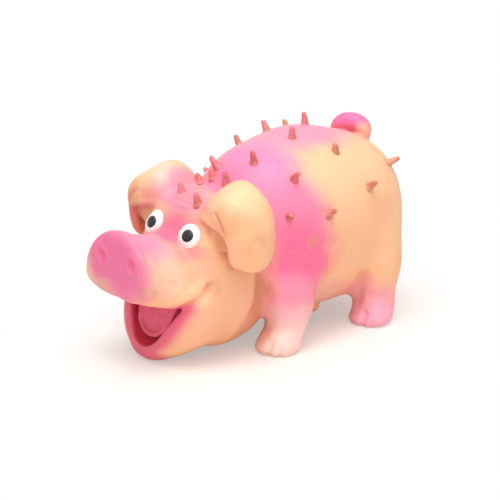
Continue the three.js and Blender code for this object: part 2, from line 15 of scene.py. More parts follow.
import bpy
import numpy as np
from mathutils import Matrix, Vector

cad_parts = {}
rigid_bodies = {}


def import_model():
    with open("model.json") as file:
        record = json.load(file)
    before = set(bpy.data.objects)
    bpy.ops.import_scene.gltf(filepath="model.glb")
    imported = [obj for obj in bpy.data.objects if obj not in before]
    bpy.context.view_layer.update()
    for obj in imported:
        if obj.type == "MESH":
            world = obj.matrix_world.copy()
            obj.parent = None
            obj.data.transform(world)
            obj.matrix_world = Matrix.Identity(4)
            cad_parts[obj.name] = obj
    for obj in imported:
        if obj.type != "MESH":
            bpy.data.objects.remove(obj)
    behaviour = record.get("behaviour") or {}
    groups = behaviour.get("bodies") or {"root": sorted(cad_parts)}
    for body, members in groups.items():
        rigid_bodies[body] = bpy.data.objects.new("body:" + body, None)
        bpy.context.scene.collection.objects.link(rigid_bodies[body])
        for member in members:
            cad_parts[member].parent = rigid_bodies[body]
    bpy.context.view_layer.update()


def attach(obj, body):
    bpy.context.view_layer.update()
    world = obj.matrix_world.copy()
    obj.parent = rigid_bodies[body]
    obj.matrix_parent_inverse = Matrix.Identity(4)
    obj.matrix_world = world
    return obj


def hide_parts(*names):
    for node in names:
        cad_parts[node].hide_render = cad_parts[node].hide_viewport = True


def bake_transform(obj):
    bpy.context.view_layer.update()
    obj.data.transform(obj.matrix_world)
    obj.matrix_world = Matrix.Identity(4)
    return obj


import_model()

# %% [markdown]
# ## Forms as distances
#
# A moulded skin has no edges where its forms meet: the snout swells out of the head, and the legs out of the belly.
# Such a skin could be sculpted by hand, or made of balls that melt together. It can also be described by a distance:
# a function that tells, for any point, how far it lies outside the skin, or inside it as a minus number. Two
# distances melt together with a smooth minimum, and a smooth maximum cuts one form out of another. All lengths in
# these functions are millimetres, because the toy was measured in them.

# %% Smooth joining and cutting
def melt(a, b, reach):
    """Joins two forms, with a fillet that starts where they come within reach of each other."""
    close = np.maximum(reach - np.abs(a - b), 0) / reach
    return np.minimum(a, b) - close**3 * reach / 6


def carve(a, b, reach):
    """What two forms share, with a rounded edge."""
    return -melt(-a, -b, reach)


def through(knots, values, count=240):
    """A smooth line through some values, as two columns that np.interp reads."""
    knots, values = np.array(knots, float), np.array(values, float)
    slope = np.gradient(values, knots)
    at = np.linspace(knots[0], knots[-1], count)
    i = np.clip(np.searchsorted(knots, at, "right") - 1, 0, len(knots) - 2)
    step = knots[i + 1] - knots[i]
    s = (at - knots[i]) / step
    line = (2 * s**3 - 3 * s**2 + 1) * values[i] + (s**3 - 2 * s**2 + s) * step * slope[i]
    line += (3 * s**2 - 2 * s**3) * values[i + 1] + (s**3 - s**2) * step * slope[i + 1]
    return at, line


print("melting two planes 0 mm away with a reach of 6 mm adds", melt(0.0, 0.0, 6.0), "mm")

# %% [markdown]
# ## Eggs and columns
#
# The body and the head are eggs that lie along Y. Their outline is a power curve, like an ellipse that is a little
# squarer. The snout, the jaw, the hollow of the mouth and the legs are columns: rings whose middle and half widths
# change along one axis.

# %% Egg and column
NUDGE, TINY = 1e-5, 1e-6  # keep a share off zero, where its power has no slope, and a division from failing


def egg(p, centre, half, end_power, side_power):
    """The distance to an egg along Y."""
    x, y, z = (np.abs(p - centre) / half + NUDGE).T
    side = x**side_power + z**side_power
    swell = side ** (end_power / side_power)
    lump = swell + y**end_power
    size = lump ** (1 / end_power)
    share = size / lump
    steep = swell / side * share
    slope = np.sqrt(
        (steep * x ** (side_power - 1) / half[0]) ** 2
        + (share * y ** (end_power - 1) / half[1]) ** 2
        + (steep * z ** (side_power - 1) / half[2]) ** 2
    )
    return (size - 1) / slope


class Column:
    """Rings along one axis. Each row is a height, the ring's middle across and deep, and its half widths."""

    def __init__(self, axis, rows, power=2.0, low_power=None, low_share=1.0, ends=2.0):
        self.axis, self.power, self.ends = axis, power, ends
        self.low_power, self.low_share = low_power or power, low_share
        self.across, self.deep = [i for i in range(3) if i != axis]
        rows = np.array(sorted(rows), float)
        self.low, self.high = rows[0, 0], rows[-1, 0]
        self.lines = [through(rows[:, 0], rows[:, i]) for i in range(1, 5)]

    def __call__(self, p):
        height = p[:, self.axis]
        mid_a, mid_d, half_a, half_d = (np.interp(height, *line) for line in self.lines)
        a = np.abs(p[:, self.across] - mid_a) / half_a + NUDGE
        low = p[:, self.deep] < mid_d
        power = np.where(low, self.low_power, self.power)
        half_d = np.where(low, half_d * self.low_share, half_d)
        d = np.abs(p[:, self.deep] - mid_d) / half_d + NUDGE
        lump = a**power + d**power
        size = lump ** (1 / power)
        share = size / lump
        slope = np.hypot(share * a ** (power - 1) / half_a, share * d ** (power - 1) / half_d)
        wall = (size - 1) / slope
        end = np.maximum(self.low - height, height - self.high)
        return carve(wall, end, self.ends)


BODY = dict(centre=(0, 32.5, 64), half=(46, 70, 54), end_power=2.6, side_power=2.1)
HEAD = dict(centre=(0, -39.5, 47.5), half=(38, 36, 45.5), end_power=2.2, side_power=2.4)
HUMP = dict(centre=(0, 30.0, 70.0), radii=(40.0, 54.0, 51.5))
BROW_POINT, BROW_OUT = np.array([0, -63.3, 75.0]), np.array([0, -0.87, 0.49])
print("body", BODY, "head", HEAD)

# %% [markdown]
# ## Snout
#
# The snout is a short trunk that ends in a flat disc. The disc is wider below than above, and the trunk is squarer
# below, where the upper lip begins.

# %% Snout
SNOUT_END, SNOUT_LENGTH = -102.5, 47.0
SNOUT_RINGS = [  # the share of the length from the disc, the middle's height, and the half width and height
    (0, 57.8, 28.8, 21.8), (0.03, 57.8, 29.8, 22.6), (0.12, 57.5, 29.4, 22.4), (0.3, 54.9, 26.8, 21.5),
    (0.54, 50.6, 26.8, 23.6), (0.78, 52.0, 26.4, 21.4), (1, 57.0, 23.7, 16.0),
]
snout = Column(
    1,
    [(SNOUT_END + share * SNOUT_LENGTH, 0, *ring) for share, *ring in SNOUT_RINGS],
    power=1.95, low_power=3.2, low_share=0.68, ends=5.0,
)
DISC_HEIGHT, DISC_FROM, DISC_TO, SNOUT_LEANS, DISC_NARROWS = 57.0, -16, 24, 0.06, 0.007


def egg_snout(p):
    """The disc narrows upwards, and the whole snout leans a little to one side, as on the real toy."""
    up = p[:, 2] - DISC_HEIGHT
    width = 1 - DISC_NARROWS * np.clip(up, DISC_FROM, DISC_TO)
    return snout(np.c_[(p[:, 0] - SNOUT_LEANS * up) / width, p[:, 1:]])


print("the snout reaches from y", snout.low, "to", snout.high)

# %% [markdown]
# ## Jaw and mouth
#
# The jaw is a basin that stands on the floor with its chin, cut off along the slanting lip. The hollow of the mouth
# is a second basin, taken out of the jaw and the snout.

# %% Jaw and mouth
jaw_basin = Column(
    2,
    [
        (-0.5, -3.0, -73.5, 6.5, 6.5), (2.5, -3.0, -70.5, 13.5, 13.5), (8.0, -2.6, -65.5, 22.5, 21.0),
        (14.0, -2.0, -62.5, 30.0, 24.4), (21.0, -1.2, -60.5, 34.6, 25.8), (31.0, -0.4, -59.5, 37.0, 24.5),
        (40.0, 0, -59.0, 36.4, 22.0), (46.0, 0, -58.5, 34.0, 18.0),
    ],
    power=2.25, ends=1.0,
)
mouth_hollow = Column(
    2,
    [
        (9.5, -1.6, -80.0, 4.5, 4.0), (12.0, -1.4, -79.0, 8.5, 7.0), (16.0, -1.0, -76.5, 12.8, 10.5),
        (21.5, -0.6, -74.0, 16.4, 13.5), (31.0, -0.2, -71.5, 21.2, 16.0), (40.0, 0, -71.0, 22.0, 16.0),
        (44.0, 0, -71.0, 17.0, 12.0),
    ],
    ends=4.0,
)
LIP_HEIGHTS = [-6, 3, 9, 19, 27, 34, 40, 46, 54]
LIP_LINE = through(LIP_HEIGHTS, [-87.5, -86.3, -85.2, -82.4, -79.4, -75.6, -71.0, -65.0, -56.0])
LIP_SLANT = 0.85  # the lip leans, so the way straight to it is shorter than the way ahead


def jaw(p):
    """The basin, cut off in front of the lower lip, which leans back as it rises."""
    lip_plane = (np.interp(p[:, 2], *LIP_LINE) - p[:, 1]) * LIP_SLANT
    return carve(jaw_basin(p), lip_plane, 6.0)


print("the lip reaches from y", LIP_LINE[1][0], "to", LIP_LINE[1][-1])

# %% [markdown]
# ## Legs
#
# Four stubby legs swell out of the belly and end in feet with a groove between two toes. The same column serves
# all four: a point on the toy's right side is mirrored to the left first.

# %% Legs
LEGS = [  # where the leg is along the toy, and its rings: height, place across and behind, half widths
    (-12.5, [
        (-1.0, 35.8, -2.4, 11.6, 12.0), (2.5, 36.0, -2.2, 12.8, 13.2), (8.0, 36.2, -0.2, 12.4, 12.2),
        (14.0, 35.6, 4.2, 12.2, 11.6), (20.0, 34.4, 6.6, 13.2, 13.4), (27.0, 32.0, 8.0, 15.4, 16.4),
        (38.0, 28.0, 7.5, 17.2, 19.0), (48.0, 25.0, 6.0, 15.0, 18.0),
    ]),
    (63.0, [
        (-1.0, 35.8, -2.6, 11.6, 11.6), (2.5, 36.2, -2.4, 13.2, 12.6), (8.0, 36.4, -0.4, 13.2, 12.0),
        (14.0, 35.0, 1.8, 12.6, 12.6), (20.0, 33.2, 2.2, 13.6, 13.4), (29.0, 30.6, 2.4, 16.0, 16.6),
        (40.0, 27.6, 2.0, 17.4, 18.6), (50.0, 25.0, 2.0, 14.0, 15.0),
    ]),
]
legs = [
    (leg_y, Column(2, [(z, x, leg_y + behind, *half) for z, x, behind, *half in rings], power=2.2, ends=8.0))
    for leg_y, rings in LEGS
]
HAUNCH = dict(centre=(25.0, 67.0, 44.0), radii=(20.0, 21.0, 26.0))
print("legs at y", [leg_y for leg_y, _ in legs])

# %% [markdown]
# ## Ears
#
# An ear is a bent sheet, thick and soft. It rises from the head, arches over and hangs down. A net of places, row by
# row from the root to the tip, is enough for a smooth sheet to be drawn through it. The sheet's place that is nearest
# to a point has no formula, so it is searched: from the nearest of some samples, in steps along the sheet.

# %% Ears
def line_through(points, count):
    points = np.array(points, float)
    steps = np.r_[0, np.cumsum(np.linalg.norm(np.diff(points, axis=0), axis=1))]
    return np.array([through(steps, column, count)[1] for column in points.T]).T


def unit(v):
    return v / np.linalg.norm(v, axis=-1, keepdims=True)


EAR_NET = [  # rows from the root to the tip: places from the front edge to the rear edge, and the half thickness
    ([(16, -51, 80), (18, -46, 84), (19, -40, 86), (18, -34, 85), (16, -29, 82)], 5.4),
    ([(22, -55, 84), (24.5, -51, 90.5), (25.5, -42, 96), (24, -34.5, 95.5), (21.5, -30, 90)], 5.0),
    ([(28, -57.2, 84), (31, -54, 92), (31.5, -45, 98.4), (29.5, -36.5, 100.2), (27.5, -32.5, 97.5)], 4.4),
    ([(36.6, -58.6, 82.5), (39, -56.4, 92), (38.4, -46, 97), (36.5, -38, 100), (35.5, -34, 99)], 4.0),
    ([(42.5, -58.6, 80.5), (44.8, -56.3, 88), (44,  -46, 92.4), (42.5, -37, 95.2), (41.5, -32, 94.2)], 3.7),
    ([(44.6, -57.6, 73.5), (46.8, -54, 79), (47.8, -45, 83), (47.2, -36, 86.5), (45.4, -30.4, 86.5)], 3.5),
    ([(44.6, -56.2, 67), (47.2, -52, 71), (48.8, -44, 73.5), (48.4, -35.5, 75.5), (46.8, -29.8, 76)], 3.4),
    ([(44.4, -53.6, 62.6), (47, -49.8, 63.6), (48.6, -43, 64.4), (48.2, -35.8, 65.4), (46.8, -30.2, 67)], 3.2),
    ([(44.6, -50.6, 60.6), (46.2, -47, 59.8), (47.4, -42, 59.2), (47, -36, 60), (46.2, -31.4, 62)], 3.0),
]


class Sheet:
    """A bent sheet with a rounded edge through a net of places."""

    EDGE_THINS, MARGIN = 0.22, 9  # the share by which the edges are thinner, and how far off the sheet still counts
    ROUNDS, CALM = 9, 0.55  # steps of the search, each cut short, since a full one overshoots at a tight bend

    def __init__(self, rows, along=64, across=36):
        net = np.array([[(*place, thick) for place in places] for places, thick in rows], float)
        lanes = np.arange(net.shape[1])
        wide = np.array([[through(lanes, row[:, k], across)[1] for k in range(4)] for row in net])
        steps = np.arange(len(net))
        grid = np.array([[through(steps, wide[:, k, lane], along)[1] for lane in range(across)] for k in range(4)])
        self.grid = grid.transpose(2, 1, 0)
        self.grid[..., 3] *= 1 - self.EDGE_THINS * np.abs(np.linspace(-1, 1, across)) ** 3
        samples = np.meshgrid(np.arange(0, along, 3), np.arange(0, across, 2), indexing="ij")
        self.rough = np.stack(samples, -1).reshape(-1, 2)
        spots = self.grid[..., :3]
        self.low, self.high = spots.min((0, 1)) - self.MARGIN, spots.max((0, 1)) + self.MARGIN

    def at(self, spot):
        """The sheet's place and half thickness between four corners of the grid, and its two directions there."""
        most = np.array(self.grid.shape[:2]) - 2
        cell = np.clip(spot.astype(int), 0, most)
        u, v = (spot - cell).T[:, :, None]
        a, b = cell.T
        g = self.grid
        near_side = g[a, b] * (1 - u) + g[a + 1, b] * u
        far_side = g[a, b + 1] * (1 - u) + g[a + 1, b + 1] * u
        along = (g[a + 1, b] - g[a, b]) * (1 - v) + (g[a + 1, b + 1] - g[a, b + 1]) * v
        return near_side * (1 - v) + far_side * v, along[:, :3], (far_side - near_side)[:, :3]

    def __call__(self, p):
        samples = self.grid[self.rough[:, 0], self.rough[:, 1], :3]
        away = (p**2).sum(1)[:, None] - 2 * p @ samples.T + (samples**2).sum(1)
        spot = self.rough[away.argmin(1)].astype(float)
        most = np.array(self.grid.shape[:2]) - 1.0
        for _ in range(self.ROUNDS):
            place, along, across = self.at(spot)
            v = p - place[:, :3]
            aa, ab, bb = (along**2).sum(1), (along * across).sum(1), (across**2).sum(1)
            va, vb = (v * along).sum(1), (v * across).sum(1)
            whole = np.maximum(aa * bb - ab**2, TINY)
            spot[:, 0] += self.CALM * (va * bb - vb * ab) / whole
            spot[:, 1] += self.CALM * (vb * aa - va * ab) / whole
            spot = np.clip(spot, 0, most)
        place = self.at(spot)[0]
        return np.linalg.norm(p - place[:, :3], axis=1) - place[:, 3]


ear_sheet = Sheet(EAR_NET)
EAR_FILL = dict(centre=(35.5, -52.5, 79.0), radii=(10.0, 5.0, 11.0))
print("the ear's net is", ear_sheet.grid.shape)

# %% [markdown]
# ## Tail and upper lip
#
# A tube is the simplest bent form: balls in a close row along a line, and the distance to the nearest of them. The
# tail is a tube along a curl. A thinner one is the upper lip, from under the snout to the corner of the mouth.

# %% Tail and upper lip
FAR = 1e3
UP = np.array([0, 0, 1.0])


class Tube:
    """A row of balls whose radius changes from end to end."""

    MARGIN = 12  # how far off its line a tube still counts

    def __init__(self, points, count, shares, radii):
        self.line = line_through(points, count)
        self.radii = np.interp(np.linspace(0, 1, count), shares, radii)
        self.low, self.high = self.line.min(0) - self.MARGIN, self.line.max(0) + self.MARGIN

    def __call__(self, p):
        best = np.full(len(p), FAR)
        for place, radius in zip(self.line, self.radii):
            np.minimum(best, np.linalg.norm(p - place, axis=1) - radius, out=best)
        return best


TAIL_SEAT, TAIL_SIZE, TAIL_HEADING = np.array([0.0, 83.5, 107.2]), 13.5, math.radians(37)
TAIL_SHARES = [  # out, up, side
    (0, -0.3, 0), (0, 0.02, 0), (0.12, 0.24, 0), (0.12, 0.42, 0), (-0.12, 0.62, -0.04), (-0.52, 0.66, -0.12),
    (-0.92, 0.46, -0.3), (-1.1, 0.12, -0.45),
]
heading = np.array([math.cos(TAIL_HEADING), math.sin(TAIL_HEADING), 0])
aside = np.array([heading[1], -heading[0], 0])
tail_tube = Tube(
    [TAIL_SEAT + TAIL_SIZE * (out * heading + up * UP + side * aside) for out, up, side in TAIL_SHARES],
    44, [0, 0.2, 0.4, 0.7, 1], [6.4, 5.6, 6.0, 6.4, 5.0],
)
LIP_PLACES = [
    (6, -97, 46), (14, -94.5, 45.4), (19.5, -89, 44), (22, -82, 42.2), (24.4, -75, 42.2), (26.8, -68.5, 44.8),
    (28, -62.5, 49.5),
]
lip_tube = Tube(LIP_PLACES, 40, [0, 0.25, 0.8, 1], [2.6, 4.2, 4.2, 3.0])
print("the tail curls through", len(tail_tube.line), "places and the lip through", len(lip_tube.line))

# %% [markdown]
# ## Tongue, and the hole for the voice
#
# The tongue is a thick flap that widens from its tip, with a low ridge round its edge. Under the belly the skin has a
# flat round seat with a hole in it, which the squeeze voice is pushed into.

# %% Tongue, seat and hole
TONGUE_LOW, TONGUE_WAY, TONGUE_OUT = np.array([[0, -80.2, 14.6], [0, 0.33, 0.944], [0, -0.944, 0.33]])
TONGUE_HALF, TONGUE_WIDENS, TONGUE_TIP, TONGUE_THICK, TONGUE_LONG = 12.4, 5.0, 10, 9, 34
RIDGE, RIDGE_IN, RIDGE_WIDE, DISHED = 1.4, 1.7, 1.3, 0.9


def tongue(p):
    v = p - TONGUE_LOW
    along, up, across = v @ TONGUE_WAY, v @ TONGUE_OUT, p[:, 0]
    width = TONGUE_HALF + TONGUE_WIDENS * np.clip(along / 20, 0, 1)
    edge = (np.hypot(np.maximum(TONGUE_TIP - along, 0) / TONGUE_TIP, across / width) - 1) * TONGUE_TIP
    face = up - RIDGE * np.exp(-(((edge + RIDGE_IN) / RIDGE_WIDE) ** 2)) + DISHED * np.clip(-edge / 8, 0, 1)
    return np.maximum(np.maximum(edge, face), np.maximum(-TONGUE_THICK - up, along - TONGUE_LONG))


VOICE_Y, HOLE_RADIUS, HOLE_TOP = 22.5, 13.35, 29.0
SEAT_RADIUS, SEAT_MIDDLE, SEAT_HALF = 21.0, 13.5, 4.0


def seat(p):
    off_rim = np.hypot(p[:, 0], p[:, 1] - VOICE_Y) - SEAT_RADIUS
    return np.maximum(off_rim, np.abs(p[:, 2] - SEAT_MIDDLE) - SEAT_HALF)


def voice_hole(p):
    off_wall = np.hypot(p[:, 0], p[:, 1] - VOICE_Y) - HOLE_RADIUS
    return np.maximum(off_wall, p[:, 2] - HOLE_TOP)


print("the tongue is", 2 * (TONGUE_HALF + TONGUE_WIDENS), "mm wide, and the hole", 2 * HOLE_RADIUS)

# %% [markdown]
# ## One skin
#
# All forms melt into one distance. Each small form is only worked out in its own neighbourhood, because the
# distance is asked for a million points.

# %% Neighbourhoods, mirror and ball
def near(p, low, high):
    return np.flatnonzero(np.all((p > low) & (p < high), axis=1))


def mirrored(p):
    """Every point on the toy's left side, so that one form serves both."""
    return np.c_[np.abs(p[:, 0]), p[:, 1:]]


def ball(p, centre, radii):
    v = (p - centre) / radii
    size = np.linalg.norm(v, axis=1) + TINY
    return (size - 1) * size / (np.linalg.norm(v / radii, axis=1) + TINY)


EYE = dict(place=np.array([16.5, -63.3, 74.0]), out=np.array([0.17, -0.87, 0.46]), wide=8.0, high=7.6, rise=2.1)
BED_DEPTH, BED_RADIUS = 14.6, 15.7  # each eye lies on a ball that swells out of the face
EYE_BED = dict(centre=EYE["place"] - BED_DEPTH * EYE["out"], radii=np.full(3, BED_RADIUS))
print("the ball under an eye is round", EYE_BED["centre"].round(1))

# %% The whole skin
def smooth_skin(p):
    """How far each point lies outside the skin, in millimetres, before anything is pressed into it."""
    p = np.asarray(p, float)
    m = mirrored(p)
    head = egg(p, **HEAD)
    i = near(p, (-40, -90, 40), (40, -35, 105))
    head[i] = carve(head[i], (p[i] - BROW_POINT) @ BROW_OUT, 9.0)
    d = melt(egg(p, **BODY), head, 9.0)

    def add(q, low, high, form, reach):
        i = near(q, low, high)
        d[i] = melt(d[i], form(q[i]), reach)

    def take_out(low, high, form, reach):
        i = near(p, low, high)
        d[i] = carve(d[i], -form(p[i]), reach)

    add(p, (-45, -30, 70), (45, 90, 140), lambda q: ball(q, **HUMP), 6.0)
    add(p, (-40, -120, 20), (40, -40, 95), egg_snout, 6.0)
    add(m, (0, -82, 54), (36, -36, 94), lambda q: ball(q, **EYE_BED), 5.0)
    add(m, lip_tube.low, lip_tube.high, lip_tube, 7.0)
    add(p, (-45, -100, -8), (45, -25, 56), jaw, 6.0)
    for leg_y, leg in legs:
        add(m, (5, leg_y - 32, -8), (65, leg_y + 32, 66), leg, 9.0)
    add(m, (-5, 35, 8), (60, 105, 85), lambda q: ball(q, **HAUNCH), 14.0)
    take_out((-42, -112, -4), (42, -44, 54), mouth_hollow, 5.0)
    add(p, (-30, -102, -2), (30, -55, 44), tongue, 2.0)
    add(m, ear_sheet.low, ear_sheet.high, ear_sheet, 7.0)
    add(m, ear_sheet.low, ear_sheet.high, lambda q: ball(q, **EAR_FILL), 3.0)
    add(p, tail_tube.low, tail_tube.high, tail_tube, 4.0)
    add(p, (-20, 5, -5), (20, 42, 40), seat, 3.0)
    take_out((-20, 5, -5), (20, 42, 40), voice_hole, 1.0)
    take_out((-70, -120, -12), (70, 120, 8), lambda q: q[:, 2], 2.0)  # the floor cuts the soles flat
    return d


print("at the middle of the toy the skin is", -smooth_skin([[0, 0, 60]])[0].round(1), "mm away")

# %% [markdown]
# ## Grooves and nostrils
#
# The mould has wrinkles on the brow, creases in the flanks and at the mouth's corners, and clefts between the toes.
# Each is a line that is slid onto the skin and then pressed in with a soft profile. A nostril is a small ball taken
# out of the disc, with a raised rim round it.

# %% Grooves and nostrils
BROW_GROOVES = [  # the line's points, its width and its depth
    ([(-9.0, -53.6, 88.2), (-3, -53.4, 88.6), (4, -53.6, 88.2), (10.5, -53.4, 87.2)], 1.3, 1.3),
    ([(-7.0, -51.8, 90), (0, -51.2, 91), (6, -52, 89.8), (12, -53.4, 87.6)], 1.1, 0.9),
    ([(-4.0, -56.5, 85.0), (2, -56.4, 85.2), (7, -55.8, 85.6)], 1.1, 0.7),
]
PAIRED_GROOVES = [
    (
        [(27, -77.5, 37.8), (29.2, -74.5, 39.3), (31.9, -69.6, 41.2), (33.1, -64.9, 44.8), (32.4, -61.4, 49)],
        1.7, 2.0,
    ),
    ([(45.2, 14.0, 62), (44.9, 15.4, 57.5), (44.1, 17.6, 49.7), (41.7, 20.8, 40.3)], 1.6, 1.9),
    ([(45.3, 11.5, 62.4), (45.0, 14.6, 58.4), (45.2, 18.4, 58.4), (44.8, 21.6, 61.6)], 1.4, 1.5),
    ([(42.6, -9.4, 64.6), (43.0, -5, 63.4), (43.4, -1, 62.8)], 1.3, 1.1),
    ([(42.6, -8.4, 61.4), (43.0, -4, 60.2), (43.6, 0, 59.6)], 1.3, 1.0),
    ([(46, -2.5, 27.2), (47, 0, 25.6), (46.6, 3.0, 24.6)], 1.2, 0.9),
    ([(46, -2.5, 24.2), (47, 0, 22.8), (46.6, 3.0, 22.0)], 1.2, 0.7),
    ([(41.5, -28, 0), (41.6, -27, 5), (41.0, -25.6, 9.5)], 1.9, 2.6),
    ([(46.4, -22.6, 0), (46.2, -22.2, 4)], 1.5, 1.3),
    ([(41.0, 46, 0), (41.2, 48, 5), (41.0, 50, 9.5)], 1.9, 2.6),
    ([(47, 51.6, 0), (47, 52, 4)], 1.5, 1.3),
    ([(33, 52, 14), (36.5, 50.8, 22), (39.2, 49.6, 29), (41, 49, 35)], 3.0, 1.8),
    ([(42, 55, 19.5), (45.6, 60, 19), (46, 64, 19)], 2.6, 1.0),
    ([(26.2, -82.5, 53), (26.4, -80.5, 51.5)], 1.6, 1.2),
    ([(37, -26, 56), (37, -26.5, 46), (36, -27.5, 35), (34.5, -30, 26), (31, -33, 18), (25, -35, 10)], 5.0, 4.4),
    ([(24, -59.6, 88.8), (30, -60.5, 87.8), (36, -61.5, 88.6)], 5.0, 0.5),
    ([(36, -60, 90), (40, -61, 87), (43, -60, 82)], 1.2, 0.8),
]


def slope_of(field, p, step=0.2):
    out = np.empty_like(p)
    for axis in range(3):
        move = np.zeros(3)
        move[axis] = step
        out[:, axis] = (field(p + move) - field(p - move)) / (2 * step)
    return out


grooves = []
for both, (line, width, depth) in [(False, row) for row in BROW_GROOVES] + [(True, row) for row in PAIRED_GROOVES]:
    line = line_through(line, 24)
    for _ in range(4):
        slope = slope_of(smooth_skin, line)
        line = line - slope * (smooth_skin(line) / (slope**2).sum(1))[:, None]
    grooves.append((line, width, depth, both))
GROOVE_REACH = 2.4  # in widths; further off a groove no longer counts
NOSTRIL, NOSTRIL_RADII = np.array([14.3, -104.4, 64.6]), (3.4, 4.0, 4.2)
NOSTRILS_ASIDE = 2.2  # the snout leans, and its nostrils with it
NOSTRIL_ROOM, NOSTRIL_EDGE = 12, 2.6
RIM_HIGH, RIM_OUT, RIM_WIDE = 0.7, 1.2, 1.8


def skin(p):
    """The skin with its grooves and nostrils."""
    p = np.asarray(p, float)
    m, d = mirrored(p), smooth_skin(p)
    for line, width, depth, both in grooves:
        q = m if both else p
        i = near(q, line.min(0) - GROOVE_REACH * width, line.max(0) + GROOVE_REACH * width)
        if len(i):
            away = np.min([((q[i] - place) ** 2).sum(1) for place in line], axis=0)
            d[i] += depth * np.exp(-away / width**2)
    q = mirrored(p - [NOSTRILS_ASIDE, 0, 0])
    i = near(q, NOSTRIL - NOSTRIL_ROOM, NOSTRIL + NOSTRIL_ROOM)
    if len(i):
        hole = ball(q[i], NOSTRIL, NOSTRIL_RADII)
        d[i] -= RIM_HIGH * np.exp(-(((hole - RIM_OUT) / RIM_WIDE) ** 2))
        d[i] = carve(d[i], -hole, NOSTRIL_EDGE)
    return d


print(len(BROW_GROOVES), "grooves on the brow and", len(PAIRED_GROOVES), "pairs of grooves")

# %% [markdown]
# ## From distance to mesh
#
# Blender can turn balls into a surface, but not a distance of our own. Surface nets are an easy way: a grid of
# points is laid over the toy, each small cell with the skin in it gets one corner of the mesh, and four cells round a
# crossed grid line share a face. Most grid points are far from the skin, so coarse blocks are tried first.

# %% Grid
BLOCK, NEAR_SKIN, BATCH = 4, 1.9, 150000  # steps along a block, blocks that count as near, points done at once


def grid_values(field, low, step, counts):
    """The field on a fine grid, worked out only near the skin."""
    coarse = [np.arange(0, n, BLOCK) for n in counts]
    rough_points = np.stack(np.meshgrid(*[l + c * step for l, c in zip(low, coarse)], indexing="ij"), -1)
    rough = field(rough_points.reshape(-1, 3)).reshape(rough_points.shape[:3])
    corner_slices = [
        tuple(slice(b, rough.shape[k] - 1 + b) for k, b in enumerate(bits)) for bits in np.ndindex(2, 2, 2)
    ]
    closest = np.min([np.abs(rough[s]) for s in corner_slices], axis=0)
    cells = closest < BLOCK * step * NEAR_SKIN
    nearest = [
        np.clip(np.rint(np.arange(n) / BLOCK).astype(int), 0, len(c) - 1) for n, c in zip(counts, coarse)
    ]
    values = rough[np.ix_(*nearest)].astype(np.float32)
    busy = cells.repeat(BLOCK, 0).repeat(BLOCK, 1).repeat(BLOCK, 2)
    wide = np.zeros(counts, bool)
    for bits in np.ndindex(2, 2, 2):
        wide[tuple(slice(b, b + n) for b, n in zip(bits, busy.shape))] |= busy
    index = np.argwhere(wide)
    for part in np.array_split(np.arange(len(index)), max(1, len(index) // BATCH)):
        chosen = index[part]
        values[tuple(chosen.T)] = field(low + chosen * step)
    print(f"grid {counts}, worked out at {len(index)} of {values.size} points")
    return values

# %% Surface nets
def surface_net(field, low, high, step):
    """The corners and faces where the field is zero."""
    low = np.array(low, float)
    counts = tuple(int(BLOCK * math.ceil((h - l) / step / BLOCK) + 1) for l, h in zip(low, high))
    values = grid_values(field, low, step, counts)
    inside = values < 0
    count = np.zeros([n - 1 for n in counts], np.int8)
    corners = list(np.ndindex(2, 2, 2))
    for bits in corners:
        count += inside[tuple(slice(b, n - 1 + b) for b, n in zip(bits, counts))]
    cells = np.argwhere((count > 0) & (count < 8))
    number = np.full(count.shape, -1, np.int32)
    number[tuple(cells.T)] = np.arange(len(cells))

    total, hits = np.zeros((len(cells), 3)), np.zeros(len(cells))
    at = {bits: values[tuple((cells + bits).T)].astype(float) for bits in corners}
    for bits in corners:
        for axis in range(3):
            if bits[axis]:
                continue
            other = tuple(1 if k == axis else b for k, b in enumerate(bits))
            a, b = at[bits], at[other]
            cross = (a < 0) != (b < 0)
            share = np.where(cross, a / np.where(a == b, 1, a - b), 0)
            spot = np.tile(np.array(bits, float), (len(cells), 1))
            spot[:, axis] = share
            total += np.where(cross[:, None], spot, 0)
            hits += cross
    points = low + (cells + total / hits[:, None]) * step

    faces = []
    for axis in range(3):
        u, v = (axis + 1) % 3, (axis + 2) % 3
        first = inside[tuple(slice(0, n - 1) if k == axis else slice(1, n - 1) for k, n in enumerate(counts))]
        second = inside[tuple(slice(1, n) if k == axis else slice(1, n - 1) for k, n in enumerate(counts))]
        for outward in (True, False):
            edges = np.argwhere((first & ~second) if outward else (second & ~first))
            edges += [0 if k == axis else 1 for k in range(3)]
            ring = []
            for du, dv in [(1, 1), (0, 1), (0, 0), (1, 0)]:
                cell = edges.copy()
                cell[:, u] -= du
                cell[:, v] -= dv
                ring.append(number[tuple(cell.T)])
            ring = ring if outward else ring[::-1]
            faces.append(np.stack(ring, 1))
    return points, np.concatenate(faces)


ball_points, ball_faces = surface_net(lambda p: np.linalg.norm(p, axis=1) - 5, (-7, -7, -7), (7, 7, 7), 1.0)
print("a ball of 10 mm gets", len(ball_points), "corners and", len(ball_faces), "faces")

# %% [markdown]
# ## The skin's mesh
#
# The net's corners lie near the skin, not on it. Three times, each is moved down the slope by its own distance, but
# never by more than half a grid step. The slope on the skin is also the normal that it is shaded with.

# %% The skin's mesh
STEP = 1.0
LEAST_SLOPE, LONGEST_MOVE = 0.2, 0.5 * STEP
skin_points, skin_faces = surface_net(skin, (-61, -107, -3), (61, 107, 130), STEP)
for _ in range(3):
    away, slope = skin(skin_points), slope_of(skin, skin_points)
    move = slope * (away / np.maximum((slope**2).sum(1), LEAST_SLOPE))[:, None]
    length = np.maximum(np.linalg.norm(move, axis=1, keepdims=True), TINY)
    skin_points -= move * np.minimum(1, LONGEST_MOVE / length)
skin_normals = unit(slope_of(skin, skin_points))
furthest = np.abs(skin(skin_points)).max()
print(len(skin_points), "corners and", len(skin_faces), "faces; furthest off", furthest.round(3), "mm")
